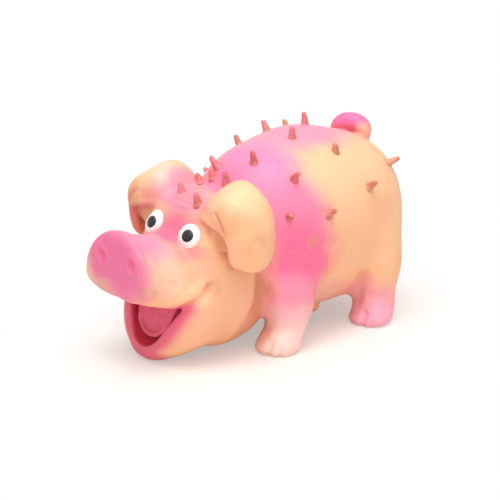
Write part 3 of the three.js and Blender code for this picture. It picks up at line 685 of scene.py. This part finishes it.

# %% [markdown]
# ## What the paint needs to know
#
# The mouth is painted inside, and the folds get painted shade. Both can be measured on the skin: how close a corner
# lies to the hollow of the mouth, and how soon a straight line out of the skin comes near to skin again.

# %% Mouth and folds
def soft(values, full, none):
    """1 up to full, 0 from none on."""
    share = np.clip((none - values) / (none - full), 0, 1)
    return share**2 * (3 - 2 * share)


from_mouth = mouth_hollow(skin_points)
below = soft(skin_points[:, 2], 36.0, 44.0)
mouth_share = soft(from_mouth, 0.4, 2.2) * below
lip_share = soft(from_mouth, 3.0, 16.0) * below
tongue_share = soft(tongue(skin_points), 0.3, 1.2)
folded_points = mirrored(skin_points)
normal_aside = skin_normals * np.where(skin_points[:, :1] < 0, [-1, 1, 1], [1, 1, 1])
inner = normal_aside @ unit(np.array([-0.55, -0.35, -0.75]))
ear_hollow = soft(ear_sheet(folded_points), 0.5, 2.0) * soft(inner, 0.75, 0.15)
ear_hollow *= soft(folded_points[:, 2], 90.0, 96.0)
REACH = 5.0
# painted shade: how deep a corner lies in a fold, which darkens its colour
crease_shade_share = 1 - np.clip(skin(skin_points + REACH * skin_normals) / REACH, 0, 1)
print("in the mouth:", (mouth_share > 0.5).sum(), "corners; in folds:", (crease_shade_share > 0.5).sum())

# %% [markdown]
# ## Cutting the skin where it moves
#
# The toy's skin bends at the jaw, the ears, the hips and the tail. Each of these becomes a piece of its own. A plane
# finds the piece: it is what lies beyond the plane and hangs together with a point that is surely in it.

# %% Moving regions
PLANES = [  # name, if it is a pair, a point surely beyond, a point on the plane, the way out, the bend's length
    ("jaw", False, (0, -78, 2), (0, -70.2, 32.4), (0, -0.6, -0.8), 16.0),
    ("ear", True, (46, -50, 70), (33, -44, 92), (1, 0, 0.1), 7.0),
    ("leg_front", True, (40, -14, 2), (32.7, -11.1, 13.6), (0.6, 0.3, -0.74), 12.0),
    ("leg_rear", True, (40, 62, 2), (29.4, 63, 18.2), (0.45, 0, -0.89), 12.0),
    ("tail", False, (-6, 79, 119), (0, 84.4, 109.0), (-0.35, 0.45, 0.82), 6.0),
]
joint_planes = {}
for name, paired, sure, point, way, bend in PLANES:
    for side, sign in (("_left", 1), ("_right", -1)) if paired else (("", 1),):
        flip = np.array([sign, 1, 1])
        joint_planes[name + side] = sure * flip, point * flip, unit(way * flip), bend


def reached(faces, allowed, start):
    """Which corners hang together with a start, over corners that are allowed."""
    pairs = np.concatenate([faces[:, [0, 1]], faces[:, [1, 2]], faces[:, [2, 3]], faces[:, [3, 0]]])
    pairs = pairs[allowed[pairs].all(1)]
    found = np.zeros(len(allowed), bool)
    found[start] = True
    while True:
        grow = found[pairs[:, 0]] != found[pairs[:, 1]]
        if not grow.any():
            return found
        found[pairs[grow]] = True


piece_of = np.zeros(len(skin_points), int)
for number, (name, (sure, point, way, bend)) in enumerate(joint_planes.items(), 1):
    beyond = (skin_points - point) @ way > 0
    start = np.argmin(np.linalg.norm(skin_points - sure, axis=1) + FAR * ~beyond)
    found = reached(skin_faces, beyond, start)
    piece_of[found] = number
    print(name, found.sum(), "corners, from z", skin_points[found, 2].min().round(1))

# %% [markdown]
# ## Meshes from arrays
#
# A mesh can be built corner by corner, but a hundred thousand corners are faster handed over as whole arrays. What
# the paint needs to know goes along as named numbers on the corners. Blender works in metres.

# %% Meshes from arrays
MM = 0.001


def make_mesh(name, points, faces, normals=None):
    mesh = bpy.data.meshes.new(name)
    mesh.vertices.add(len(points))
    mesh.vertices.foreach_set("co", (points * MM).astype(np.float32).ravel())
    mesh.loops.add(faces.size)
    mesh.loops.foreach_set("vertex_index", faces.astype(np.int32).ravel())
    mesh.polygons.add(len(faces))
    mesh.polygons.foreach_set("loop_start", np.arange(0, faces.size, faces.shape[1], dtype=np.int32))
    mesh.update(calc_edges=True)
    mesh.polygons.foreach_set("use_smooth", np.ones(len(faces), bool))
    if normals is not None:
        mesh.normals_split_custom_set_from_vertices(normals.astype(np.float32))
    made = bpy.data.objects.new(name, mesh)
    bpy.context.scene.collection.objects.link(made)
    return made


def put_numbers(piece, name, values):
    """Stores one number, or one point, for each corner of a mesh."""
    kind = "FLOAT" if values.ndim == 1 else "FLOAT_VECTOR"
    layer = piece.data.attributes.new(name, kind, "POINT")
    layer.data.foreach_set("value" if kind == "FLOAT" else "vector", values.astype(np.float32).ravel())


highest = piece_of[skin_faces].max(1)
on_corners = {
    "rest": skin_points, "mouth": mouth_share, "painted_crease_shade": crease_shade_share,
    "lip": lip_share, "tongue": tongue_share, "hollow": ear_hollow,
}
skin_pieces = {}
for number, name in enumerate(["torso", *joint_planes]):
    chosen = skin_faces[highest == number]
    used, renumbered = np.unique(chosen, return_inverse=True)
    made = make_mesh(f"{name}_latex", skin_points[used], renumbered.reshape(chosen.shape), skin_normals[used])
    for layer, values in on_corners.items():
        put_numbers(made, layer, values[used])
    skin_pieces[name] = made
print({name: len(piece.data.polygons) for name, piece in skin_pieces.items()})

# %% [markdown]
# ## Each piece in its place
#
# The torso's piece simply rides on its body. Each of the others stays where it was cut. The CAD parts that the pieces
# stand for are hidden.

# %% Bodies and nodes
for name, piece in skin_pieces.items():
    if name == "torso":
        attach(piece, "torso")
        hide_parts("torso_skin", "head_skin", "body_stuffing", "head_stuffing")
    else:
        _, point, way, bend = joint_planes[name]
        start, end = point * MM, (point + bend * way) * MM
        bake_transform(piece)
        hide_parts("jaw_skin" if name == "jaw" else name)
        slot = {"jaw": "jaw_latex", "tail": "tail_latex"}.get(name, "ear_latex" if "ear" in name else "leg_latex")
print(len(joint_planes), "pieces bend with the torso")

# %% [markdown]
# ## Bristles
#
# Two dozen short stubs stand on the back, the flanks and the head. The mould's drill holes for them are conical, so
# each stub has a wide foot and a thin round tip, and it leans because latex is soft. One stub is a lathed outline
# along a bent line, and it sits where a line out of the toy's inside meets the skin.

# %% One bristle
def slide(form, points, way, steps=40, share=0.8):
    """Slides points along a way until they are on a form."""
    points = np.array(points, float)
    for _ in range(steps):
        points = points - way * form(np.atleast_2d(points)).reshape(points.shape[:-1] + (1,)) * share
    return points


def ring_faces(rows, turns):
    """Each face joins two corners of a ring to the same two of the next ring."""
    starts = [(row * turns + k, row * turns + (k + 1) % turns) for row in range(rows) for k in range(turns)]
    return np.array([(a, b, b + turns, a + turns) for a, b in starts])


STUB_OUTLINE = [  # the share of the height, and the radius there
    (-0.16, 3.3), (-0.03, 2.9), (0.06, 2.5), (0.2, 2.2), (0.42, 1.95), (0.65, 1.68), (0.84, 1.42), (0.94, 1.12),
    (0.985, 0.7), (1.0, 0.05),
]


def stub(place, out, bend, length, turns=12):
    """The corners and faces of one bristle."""
    side = unit(np.cross(out, [0.31, 0.2, 0.93]))
    other = np.cross(out, side)
    points = []
    for height, radius in STUB_OUTLINE:
        middle = place + out * (height * length) + bend * max(height, 0) ** 2
        for k in range(turns):
            turn = 2 * math.pi * k / turns
            points.append(middle + radius * (math.cos(turn) * side + math.sin(turn) * other))
    return np.array(points), ring_faces(len(STUB_OUTLINE) - 1, turns)


print("a bristle is", 2 * STUB_OUTLINE[0][1], "mm wide at its foot")

# %% All bristles
BRISTLES = [  # the foot, the way it leans and its length
    ((12.8, -13.3, 108.1), (0.15, -0.25, 1.0), 8.6), ((11.3, 17.1, 118.3), (0.2, -0.1, 1.0), 7.6),
    ((26.9, 37.1, 109.7), (0.45, -0.25, 0.85), 8.2), ((32.2, 0.2, 99.6), (0.6, -0.25, 0.75), 8.0),
    ((41.0, 51.9, 88.2), (0.85, 0.2, 0.75), 9.0), ((27.2, 81.8, 95.8), (0.6, 0.6, 0.45), 8.8),
    ((44.2, 16.7, 78.6), (0.9, 0.1, 0.6), 7.0), ((38.7, -9.2, 80.9), (0.8, -0.55, 0.4), 5.4),
    ((6.4, -28.2, 97.5), (0.1, -0.35, 0.95), 7.2),
    ((9.5, -51.4, 89.7), (0.05, -0.3, 0.95), 6.9), ((15.0, -30.0, 94.0), (0.3, -0.2, 0.9), 6.8),
    ((-28.1, 10.6, 106.7), (-0.5, -0.2, 0.85), 8.8), ((-11.3, 17.1, 118.3), (-0.3, -0.1, 0.95), 7.8),
    ((-21.0, 42.0, 113.0), (-0.4, 0.1, 0.9), 7.4), ((-2.0, 39.2, 120.9), (0.0, 0.0, 1.0), 8.8),
    ((-8.5, -23.0, 102.8), (-0.5, -0.45, 0.75), 8.6), ((-6.4, -28.0, 98.0), (-0.15, -0.3, 0.95), 6.8),
    ((-11.1, -47.0, 91.3), (-0.1, -0.2, 0.95), 5.8), ((-16.0, -30.0, 93.0), (-0.3, -0.1, 0.9), 6.2),
    ((-38.0, -3.0, 88.0), (-0.8, -0.2, 0.6), 8.2), ((-40.6, 50.5, 89.0), (-0.85, 0.15, 0.7), 8.8),
    ((-27.0, 81.0, 96.5), (-0.6, 0.6, 0.5), 8.4), ((-44.0, 18.0, 78.0), (-0.9, 0.0, 0.55), 8.0),
    ((-30.5, 66.0, 102.0), (-0.6, 0.3, 0.8), 8.4),
]
SHORTER, SWAY = 0.88, 0.7
TAN_FROM, TAN_OVER, TAN_BELOW = 8, 14, 115  # behind the band of spray, and below the spine, bristles are tan
chance = np.random.default_rng(3)
stub_points, stub_faces, tan_share = [], [], []
for foot, lean, length in BRISTLES:
    foot = slide(skin, foot, unit(slope_of(skin, np.array(foot, float)[None]))[0])
    corners, quads = stub(foot, unit(np.array(lean)), chance.normal(0, SWAY, 3), length * SHORTER)
    stub_faces.append(quads + sum(len(c) for c in stub_points))
    stub_points.append(corners)
    tan = np.clip((foot[1] - TAN_FROM) / TAN_OVER, 0, 1) * (foot[2] < TAN_BELOW)
    tan_share.append(np.full(len(corners), tan))
stub_points = np.concatenate(stub_points)
bristles = make_mesh("bristles", stub_points, np.concatenate(stub_faces))
put_numbers(bristles, "rest", stub_points)
put_numbers(bristles, "tan", np.concatenate(tan_share))
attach(bristles, "torso")
print(len(BRISTLES), "bristles")

# %% [markdown]
# ## Eyes
#
# The eyes are drops of thick lacquer, white first and then black, that level out to a flat top with a round rim. A
# drop is a round patch of the skin, lifted off it.

# %% A drop of lacquer
def dome(share):
    """How high a drop stands at a share of its radius: flat in the middle, with a round rim."""
    return np.clip(1 - share**3.2, 0, 1) ** 0.6


MOST_LIFT, SKIRT = 0.7, 1.2  # how far the skin may lift a drop, and how deep its edge goes in


def drop(name, centre, out, half_wide, half_high, rise, bed, base=None, rings=14, turns=40):
    """A lacquer drop. base tells how high what it lies on already stands off the skin."""
    level = unit(np.cross(UP, out))
    up = np.cross(out, level)
    r, a = np.meshgrid(np.linspace(0, 1, rings) ** 0.8, 2 * math.pi * np.arange(turns) / turns, indexing="ij")
    r, a = r.reshape(-1, 1), a.reshape(-1, 1)
    points = centre + half_wide * r * np.cos(a) * level + half_high * r * np.sin(a) * up
    round_bed = slide(lambda q: ball(q, **bed), points, out, 12, 0.9)
    lift = ((slide(skin, points, out, 10) - round_bed) @ out)[:, None]
    points = round_bed + out * np.clip(lift, 0.0, MOST_LIFT)
    under = base(points)[:, None] if base else 0
    points = points + out * (under + rise * dome(r))
    points = np.concatenate([points, points[-turns:] - out * SKIRT])
    return make_mesh(name, points, ring_faces(rings, turns)[:, ::-1])


print("a drop still has", dome(0.9).round(2), "of its height at nine tenths of its radius")

# %% Both eyes
EYE_LIFT = {1: 0.0, -1: 1.2}  # one eye sits higher than the other
PUPIL_SHIFT, PUPIL_LOW, PUPIL_SINKS = {1: 1.3, -1: 1.8}, 0.2, 0.1
PUPIL = dict(half_wide=3.9, half_high=3.7, rise=0.7, rings=8, turns=28)
for side, name in ((1, "left"), (-1, "right")):
    flip, lift = np.array([side, 1, 1]), EYE_LIFT[side] * UP
    out = unit(EYE["out"] * flip)
    spot = slide(skin, EYE["place"] * flip + lift, out)
    bed = dict(centre=EYE_BED["centre"] * flip + lift, radii=EYE_BED["radii"])
    white = drop(f"eye_{name}", spot, out, EYE["wide"], EYE["high"], EYE["rise"], bed)
    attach(white, "torso")
    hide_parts(f"eye_white_{name}")

    level = unit(np.cross(UP, out))
    up = np.cross(out, level)
    black_spot = spot - up * PUPIL_LOW + level * PUPIL_SHIFT[side]

    def white_height(p, spot=spot, level=level, up=up):
        share = np.hypot((p - spot) @ level / EYE["wide"], (p - spot) @ up / EYE["high"])
        return EYE["rise"] * dome(np.minimum(share, 1)) - PUPIL_SINKS

    black = drop(f"pupil_drop_{name}", black_spot, out, bed=bed, base=white_height, **PUPIL)
    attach(black, "torso")
    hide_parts(f"pupil_{name}")
    print(name, "eye at", spot.round(1), "facing", out.round(2))

# %% [markdown]
# ## A way to write materials
#
# A material is a graph of nodes. Sums on one number are Math nodes, so a small class wraps a socket and lets Python's
# own operators add them. Every other node comes from one method.

# %% Wires
class Wire:
    """An output socket of a material's node."""

    def __init__(self, socket):
        self.socket = socket

    def sum(self, operation, first, second):
        return node(self.socket.id_data, "ShaderNodeMath", {"operation": operation}, {0: first, 1: second})

    def __add__(self, other):
        return self.sum("ADD", self, other)

    __radd__ = __add__

    def __sub__(self, other):
        return self.sum("SUBTRACT", self, other)

    def __rsub__(self, other):
        return self.sum("SUBTRACT", other, self)

    def __mul__(self, other):
        return self.sum("MULTIPLY", self, other)

    __rmul__ = __mul__


def node(tree, kind, settings=None, inputs=None, output=0):
    """Adds a node: its settings first, then the values or links of its sockets."""
    made = tree.nodes.new(kind)
    for key, value in (settings or {}).items():
        setattr(made, key, value)
    for key, value in (inputs or {}).items():
        if isinstance(value, Wire):
            tree.links.new(value.socket, made.inputs[key])
        else:
            made.inputs[key].default_value = value
    return Wire(made.outputs[output]) if made.outputs else None


def colour(red, green, blue):
    """A colour as a painter's program gives it, 0 to 255, as Blender's own."""
    line = [v / 255 / 12.92 if v / 255 <= 0.04045 else ((v / 255 + 0.055) / 1.055) ** 2.4 for v in (red, green, blue)]
    return (*line, 1.0)


print("a painter's middle grey of 128 is", round(colour(128, 128, 128)[0], 3), "to Blender")

# %% [markdown]
# ## Helpers for finishes
#
# Nearly every finish here is two close colours in soft patches, with a fine relief. Noise makes the patches and the
# relief, and a ramp sets where one colour gives way to the other.

# %% Helpers for finishes
def new_finish(name):
    material = bpy.data.materials.new(name)
    material.use_nodes = True
    material.node_tree.nodes.clear()
    return material, material.node_tree


def close_finish(tree, **sockets):
    shader = node(tree, "ShaderNodeBsdfPrincipled", None, {k.replace("_", " "): v for k, v in sockets.items()})
    node(tree, "ShaderNodeOutputMaterial", None, {"Surface": shader})


def blend_colour(tree, share, first, second):
    return node(tree, "ShaderNodeMix", {"data_type": "RGBA"}, {0: share, 6: first, 7: second}, 2)


def noise(tree, place, scale, detail=3.0, rough=0.5, output=0):
    inputs = {"Vector": place, "Scale": scale, "Detail": detail, "Roughness": rough}
    return node(tree, "ShaderNodeTexNoise", None, inputs, output)


def ramp(tree, value, low, high):
    """0 at low, 1 at high, and smooth between them."""
    inputs = {"Value": value, "From Min": low, "From Max": high}
    return node(tree, "ShaderNodeMapRange", {"interpolation_type": "SMOOTHSTEP"}, inputs)


def vectors(tree, operation, *inputs, output=0):
    return node(tree, "ShaderNodeVectorMath", {"operation": operation}, dict(enumerate(inputs)), output)


def patchy(tree, place, scale, low, high, first, second, detail=3.0):
    return blend_colour(tree, ramp(tree, noise(tree, place, scale, detail), low, high), first, second)


def relief(tree, height, strength, depth):
    return node(tree, "ShaderNodeBump", None, {"Height": height, "Strength": strength, "Distance": depth})


AS_PLACE, AS_NUMBER = 1, 2  # outputs of the Attribute node


def stored(tree, name, output=AS_NUMBER):
    """What put_numbers stored on the corners."""
    return node(tree, "ShaderNodeAttribute", {"attribute_name": name}, None, output)


# %% [markdown]
# ## Latex, spray, and painted light and shade
#
# The latex itself is peach. Pink is sprayed on in soft clouds: the snout and the brow, a band over the shoulders, the
# spine, the legs and the tail. Other clouds are painted light, paler on the back and the tops of the ears, and
# painted shade, darker in hollows, under the ears and on the rear flanks. Each cloud is a soft ball in space. The
# clouds are placed on the toy at rest, which a value on each corner remembers, so that they don't slide when a leg
# moves.

# %% Clouds of spray, of painted light and of painted shade
PEACH = colour(251, 195, 150)
DARK_PEACH = colour(244, 182, 137)
ROSE = colour(224, 128, 120)
# Where a cloud's middle is, its half sizes, its colour, its strength, and whether it is on both sides.
CLOUDS = [
    # painted light: lighter peach over the tops of both flanks
    ((30, 34, 96), (26, 44, 22), (253, 206, 162), 0.7, True),
    ((12, -12, 104), (40, 24, 24), (252, 134, 184), 0.95, False),
    ((40, -6, 82), (22, 23, 24), (251, 134, 174), 0.95, True),
    ((43, -2, 54), (20, 24, 28), (251, 114, 158), 1.0, True),
    ((43, -8, 33), (20, 22, 14), (249, 148, 172), 0.85, True),
    ((43, -12, 18), (20, 24, 13), (250, 192, 196), 0.8, True),
    ((42, -18, 4), (22, 24, 13), (253, 214, 204), 0.95, True),
    # painted shade: brown in the hollow between the jaw and each front leg
    ((36, -27, 30), (14, 7, 26), (212, 132, 104), 0.85, True),
    ((34, 32, 25), (20, 22, 13), (240, 176, 164), 0.7, True),
    # painted shade: deep rose in the fold between the belly and each rear leg
    ((38, 50, 27), (8, 6, 12), (228, 124, 132), 0.8, True),
    ((42, 57, 14), (20, 19, 16), (247, 160, 180), 0.85, True),
    ((42, 57, 3), (22, 22, 10), (246, 172, 196), 0.8, True),
    ((6, 30, 123), (26, 48, 15), (250, 146, 182), 0.9, False),
    ((6, -28, 99), (26, 15, 12), (250, 130, 168), 0.95, False),
    ((-4, -54, 91), (28, 15, 10), (249, 142, 168), 0.9, False),
    ((4, -68, 78), (22, 12, 13), (250, 112, 146), 1.0, False),
    ((25, -69, 66), (9, 8, 5), (246, 134, 142), 0.8, True),
    ((25, -88, 60), (10, 16, 16), (254, 202, 180), 0.7, True),
    ((34, -56, 30), (16, 26, 26), (246, 182, 144), 0.8, True),
    # painted highlight: lighter pink on each side of the bridge above the snout
    ((19, -84, 71), (9, 12, 7), (250, 168, 188), 0.7, True),
    ((28, -64, 58), (9, 8, 9), (250, 176, 152), 0.6, True),
    # painted shade: darker peach over both rear flanks
    ((40, 44, 58), (22, 24, 40), (249, 188, 146), 0.5, True),
    # painted light: paler peach on the tops of both ears
    ((44, -46, 98), (14, 14, 9), (253, 212, 166), 0.7, True),
    ((8, -88, 79), (24, 16, 11), (248, 150, 182), 0.95, False),
    ((0, -105, 63), (42, 11, 30), (240, 116, 162), 1.0, False),
    ((-17, -104, 45), (17, 9, 7), (228, 176, 152), 0.8, False),
    ((-29, -102, 50), (9, 9, 15), (240, 186, 168), 0.9, False),
    # painted shade, the next two clouds: brown where each ear hangs over the cheek
    ((42, -58, 82), (8, 6, 16), (228, 160, 116), 0.7, True),
    ((36, -57, 75), (7, 6, 12), (224, 154, 116), 0.75, True),
    # painted highlight: pale peach along the top of the right ear
    ((-27, -48, 102), (10, 10, 7), (255, 214, 198), 0.6, False),
    # painted shade, the next two clouds: darker rose deep in the right ear's hollow
    ((-25, -58, 86), (7, 6, 6), (230, 146, 136), 0.85, False),
    ((-44, -50, 73), (10, 12, 12), (222, 134, 120), 0.9, False),
    ((-19, -41, 95), (12, 11, 10), (249, 148, 170), 0.9, False),
    ((-6, 80, 120), (24, 18, 16), (251, 118, 168), 1.0, False),
    ((7, 82, 113), (5, 6, 4.5), (254, 188, 156), 0.95, False),
]
STAINS = [  # small marks of dirt and of spray: middle, half sizes, colour, strength
    ((27, -99, 54), (4, 5, 5), (206, 176, 126), 0.55),
    ((34, -60, 46), (5, 5, 5), (214, 150, 108), 0.4),
    ((52, -46, 92), (3, 4, 4), (214, 160, 106), 0.5),
    ((45, 4, 64), (4, 5, 4), (214, 150, 110), 0.5),
    ((49, -45, 74), (4, 9, 6), (228, 166, 120), 0.5),
    ((30, -26, 60), (5, 5, 6), (222, 160, 120), 0.4),
]
CLOUD_CORE, CLOUD_EDGE = 0.45, 1.35


def cloud(tree, place, middle, half):
    """How far into a soft ball each place is: 0 outside, 1 in its middle."""
    share = vectors(tree, "DIVIDE", vectors(tree, "SUBTRACT", place, middle), half)
    return ramp(tree, vectors(tree, "LENGTH", share, output=1), CLOUD_EDGE, CLOUD_CORE)


print(len(CLOUDS), "clouds and", len(STAINS), "stains")

# %% [markdown]
# ## The skin's finish
#
# A cloud's edge is stirred by noise, or it would look like a ball. Over the clouds come the ears' rose hollows,
# painted shade in folds, the bright lip, the mouth, the tongue and a few specks. Latex lets a little light in, and
# its surface has a fine grain on long soft waves.

# %% Sprayed latex
STIR = 13  # millimetres that noise may move a cloud's edge by
RUBBER = dict(Subsurface_Weight=0.12, Subsurface_Radius=(1.0, 0.45, 0.3))


def sprayed_latex():
    material, tree = new_finish("sprayed latex")
    place = stored(tree, "rest", AS_PLACE)
    centred = vectors(tree, "SUBTRACT", noise(tree, place, 0.06, 4.0, output=1), (0.5, 0.5, 0.5))
    moved = vectors(tree, "MULTIPLY_ADD", centred, (STIR, STIR, STIR), place)
    folded = vectors(tree, "MULTIPLY", vectors(tree, "ABSOLUTE", moved), (1, 0, 0))
    folded = vectors(tree, "MULTIPLY_ADD", moved, (0, 1, 1), folded)
    paint = patchy(tree, place, 0.045, 0.35, 0.75, PEACH, DARK_PEACH, 4.0)
    for middle, half, tint, strength, on_both in CLOUDS + [(*stain, False) for stain in STAINS]:
        share = cloud(tree, folded if on_both else moved, middle, half) * strength
        paint = blend_colour(tree, share, paint, colour(*tint))

    lip = stored(tree, "lip")
    inside = patchy(tree, place, 0.09, 0.35, 0.65, colour(228, 78, 112), colour(206, 72, 84))
    flesh = patchy(tree, place, 0.12, 0.35, 0.65, colour(238, 102, 142), colour(226, 90, 120))
    specks = ramp(tree, noise(tree, place, 0.8, 2.0), 0.74, 0.8) * ramp(tree, noise(tree, place, 0.05), 0.5, 0.7)
    for share, tint in [
        (stored(tree, "hollow") * 0.85, ROSE),
        # painted shade: reddish brown in the folds
        (ramp(tree, stored(tree, "painted_crease_shade"), 0.3, 0.95) * 0.55, colour(206, 122, 104)),
        (ramp(tree, lip, 0.0, 0.5) * 0.5, colour(234, 140, 138)),
        (ramp(tree, lip, 0.3, 0.9) * 0.9, colour(232, 94, 130)),
        (stored(tree, "mouth"), inside),
        (stored(tree, "tongue"), flesh),
        (specks * 0.25, colour(186, 120, 92)),
    ]:
        paint = blend_colour(tree, share, paint, tint)

    height = noise(tree, place, 1.1, 3.0, 0.6) * 0.12 + noise(tree, place, 0.16, 2.0) * 1.2
    rough = 0.42 + noise(tree, place, 0.3, 2.0) * 0.16
    bump = relief(tree, height, 0.35, 0.0006)
    close_finish(tree, Base_Color=paint, Roughness=rough, Normal=bump, Subsurface_Scale=0.003, **RUBBER)
    return material


skin_finish = sprayed_latex()
for piece in skin_pieces.values():
    piece.data.materials.append(skin_finish)
print(skin_finish.name, "has", len(skin_finish.node_tree.nodes), "nodes")

# %% [markdown]
# ## The bristles' finish
#
# Spray reaches the bristles of the shoulders and the spine. On the flanks they stay tan, as the bare latex ages
# first where it is thin.

# %% Bristle latex
def bristle_latex():
    material, tree = new_finish("bristle latex")
    place = stored(tree, "rest", AS_PLACE)
    tan = patchy(tree, place, 0.25, 0.4, 0.6, colour(222, 158, 118), colour(200, 126, 94), 4.0)
    pink = patchy(tree, place, 0.25, 0.4, 0.6, colour(228, 128, 138), colour(208, 122, 108), 4.0)
    paint = blend_colour(tree, stored(tree, "tan") * 0.9, pink, tan)
    bump = relief(tree, noise(tree, place, 1.2), 0.3, 0.0004)
    close_finish(tree, Base_Color=paint, Roughness=0.48, Normal=bump, Subsurface_Scale=0.002, **RUBBER)
    return material


bristles.data.materials.append(bristle_latex())
print(bristles.name, "is of", bristles.data.materials[0].name)

# %% [markdown]
# ## Lacquer, plastic and plain latex
#
# The eyes are glossy lacquer. The voice's plastic, its brass reed and the latex washer can only be seen from below,
# through the hole in the belly, but they get their own finish too. The plastic is matt from its mould, and the brass
# has the fine lines of rolled strip.

# %% Plain finishes
def plain_finish(name, first, second, patches, grain, rough, uneven=None):
    """Two colours in patches, a fine grain, and a roughness that may be uneven."""
    material, tree = new_finish(name)
    place = node(tree, "ShaderNodeTexCoord", None, None, "Object")
    scale, detail, strength, depth = grain
    bump = relief(tree, noise(tree, place, scale, detail), strength, depth)
    if uneven:
        rough = rough + noise(tree, place, uneven) * 0.15
    close_finish(tree, Base_Color=patchy(tree, place, *patches, first, second), Roughness=rough, Normal=bump)
    return material


lacquer = dict(patches=(220.0, 0.45, 0.75), grain=(160.0, 2.0, 0.15, 0.0005))
white_finish = plain_finish("white lacquer", colour(246, 244, 242), colour(226, 222, 220), rough=0.3, **lacquer)
black_finish = plain_finish("black lacquer", colour(22, 18, 20), colour(40, 32, 34), rough=0.42, **lacquer)
voice_finish = plain_finish(
    "moulded plastic", colour(243, 241, 236), colour(231, 228, 220),
    patches=(90.0, 0.35, 0.7), grain=(2500.0, 2.0, 0.2, 0.0002), rough=0.45, uneven=300.0,
)
washer_finish = plain_finish(
    "plain latex", PEACH, DARK_PEACH,
    patches=(60.0, 0.35, 0.7), grain=(900.0, 3.0, 0.3, 0.0004), rough=0.45, uneven=200.0,
)
for side in ("left", "right"):
    bpy.data.objects[f"eye_{side}"].data.materials.append(white_finish)
    bpy.data.objects[f"pupil_drop_{side}"].data.materials.append(black_finish)
print("eyes of", white_finish.name, "and", black_finish.name)

# %% Brass, and the voice's slots
def rolled_brass():
    """Its lines are noise that is stretched along the strip."""
    material, tree = new_finish("rolled brass")
    place = node(tree, "ShaderNodeTexCoord", None, None, "Object")
    lines = noise(tree, vectors(tree, "MULTIPLY", place, (1.0, 0.05, 1.0)), 3000.0, 2.0)
    paint = blend_colour(tree, ramp(tree, lines, 0.3, 0.7), colour(208, 172, 96), colour(188, 148, 74))
    bump = relief(tree, lines, 0.2, 0.0001)
    close_finish(tree, Base_Color=paint, Roughness=0.25 + lines * 0.15, Metallic=1.0, Normal=bump)
    return material


inner_finishes = dict.fromkeys(("voice_housing", "voice_lid", "reed_block"), voice_finish)
inner_finishes |= {"reed": rolled_brass(), "belly_washer": washer_finish}
for name, finish in inner_finishes.items():
    slots = bpy.data.objects[name].material_slots
    for slot in slots:
        slot.material = finish
    print(name, len(slots), finish.name)

# %% [markdown]
# ## Floor
#
# The photograph was taken on white, under large soft lamps. A ray that comes straight from the camera sees pure white
# around the toy, and the floor fades into it. Under the toy the floor keeps its shadow, and a warm painted shade and
# painted bounce light are mixed into the floor's colour next to the feet.

# %% Floor
def seen_share(tree):
    """1 for a ray that comes from the camera or by way of a mirror or glass, 0 for the rest."""
    missed = 1
    for ray in ("Is Camera Ray", "Is Glossy Ray", "Is Transmission Ray"):
        missed = missed * (1 - node(tree, "ShaderNodeLightPath", None, None, ray))
    return 1 - missed


bpy.ops.mesh.primitive_plane_add(size=8)
floor = bpy.context.object
floor.name = "floor"
TOY_HALF = (0.057, 0.102, 1.0)  # distances on the floor count in the toy's own half sizes
floor_finish, tree = new_finish("white sweep")
ground = node(tree, "ShaderNodeTexCoord", None, None, "Object")
spread = vectors(tree, "LENGTH", vectors(tree, "DIVIDE", ground, TOY_HALF), output=1)
pale = patchy(tree, ground, 40.0, 0.3, 0.7, colour(250, 240, 232), colour(247, 236, 228))
# painted shade and painted bounce light: the floor's colour turns warm brown close under the toy
pale = blend_colour(tree, ramp(tree, spread, 1.0, 0.5) * 0.85, pale, colour(226, 184, 150))
surface = node(tree, "ShaderNodeBsdfPrincipled", None, {"Base Color": pale, "Roughness": 0.9})
glow = node(tree, "ShaderNodeEmission", None, {"Color": (1, 1, 1, 1), "Strength": 1.0})
whitened = seen_share(tree) * (0.4 + 0.6 * ramp(tree, spread, 0.7, 2.0))
mixed = node(tree, "ShaderNodeMixShader", None, {0: whitened, 1: surface, 2: glow})
node(tree, "ShaderNodeOutputMaterial", None, {"Surface": mixed})
floor.data.materials.append(floor_finish)
print("the floor is", tuple(floor.dimensions), "m")

# %% [markdown]
# ## Camera
#
# The photograph looks down on the toy's left front quarter. A long lens from some distance keeps the near ear and the
# far one nearly the same size, as they are there.

# %% Camera
def put(name, data, place, target):
    """Adds a lamp or a camera that looks at a target."""
    made = bpy.data.objects.new(name, data)
    made.location = place
    made.rotation_mode = "QUATERNION"
    made.rotation_quaternion = (target - place).to_track_quat("-Z", "Y")
    bpy.context.scene.collection.objects.link(made)
    return made


AZIMUTH, ELEVATION, DISTANCE = math.radians(50), math.radians(17), 0.7738
LEVEL, RISE = math.cos(ELEVATION), math.sin(ELEVATION)
target = Vector((0, -0.0055, 0.051))
back = Vector((math.sin(AZIMUTH) * LEVEL, -math.cos(AZIMUTH) * LEVEL, RISE))
camera_data = bpy.data.cameras.new("camera")
camera_data.lens, camera_data.sensor_width = 93.6, 36
bpy.context.scene.camera = put("camera", camera_data, target + back * DISTANCE, target)
print("the camera stands at", bpy.context.scene.camera.location)

# %% [markdown]
# ## Light
#
# The world is an even grey that fills the shadows, though a ray from the camera sees it white. One large lamp
# overhead makes the soft shadow, and a weaker one from the side models the round forms.

# %% World and lamps
FILL = 0.5
world = bpy.data.worlds.new("studio")
bpy.context.scene.world = world
world.use_nodes = True
background = world.node_tree.nodes["Background"]
background.inputs["Color"].default_value = (1, 1, 1, 1)
strength = FILL + seen_share(world.node_tree) * (1 - FILL)
world.node_tree.links.new(strength.socket, background.inputs["Strength"])

for name, place, power in (("overhead", (0.25, -0.25, 1.2), 11.3), ("side", (0.9, -0.6, 0.7), 2.4)):
    lamp = bpy.data.lights.new(name, "AREA")
    lamp.size, lamp.energy = 0.8, power
    put(name, lamp, Vector(place), Vector((0, 0, 0.05)))
    print(name, "lamp of", power, "W")
bpy.context.scene.view_settings.view_transform = "Standard"
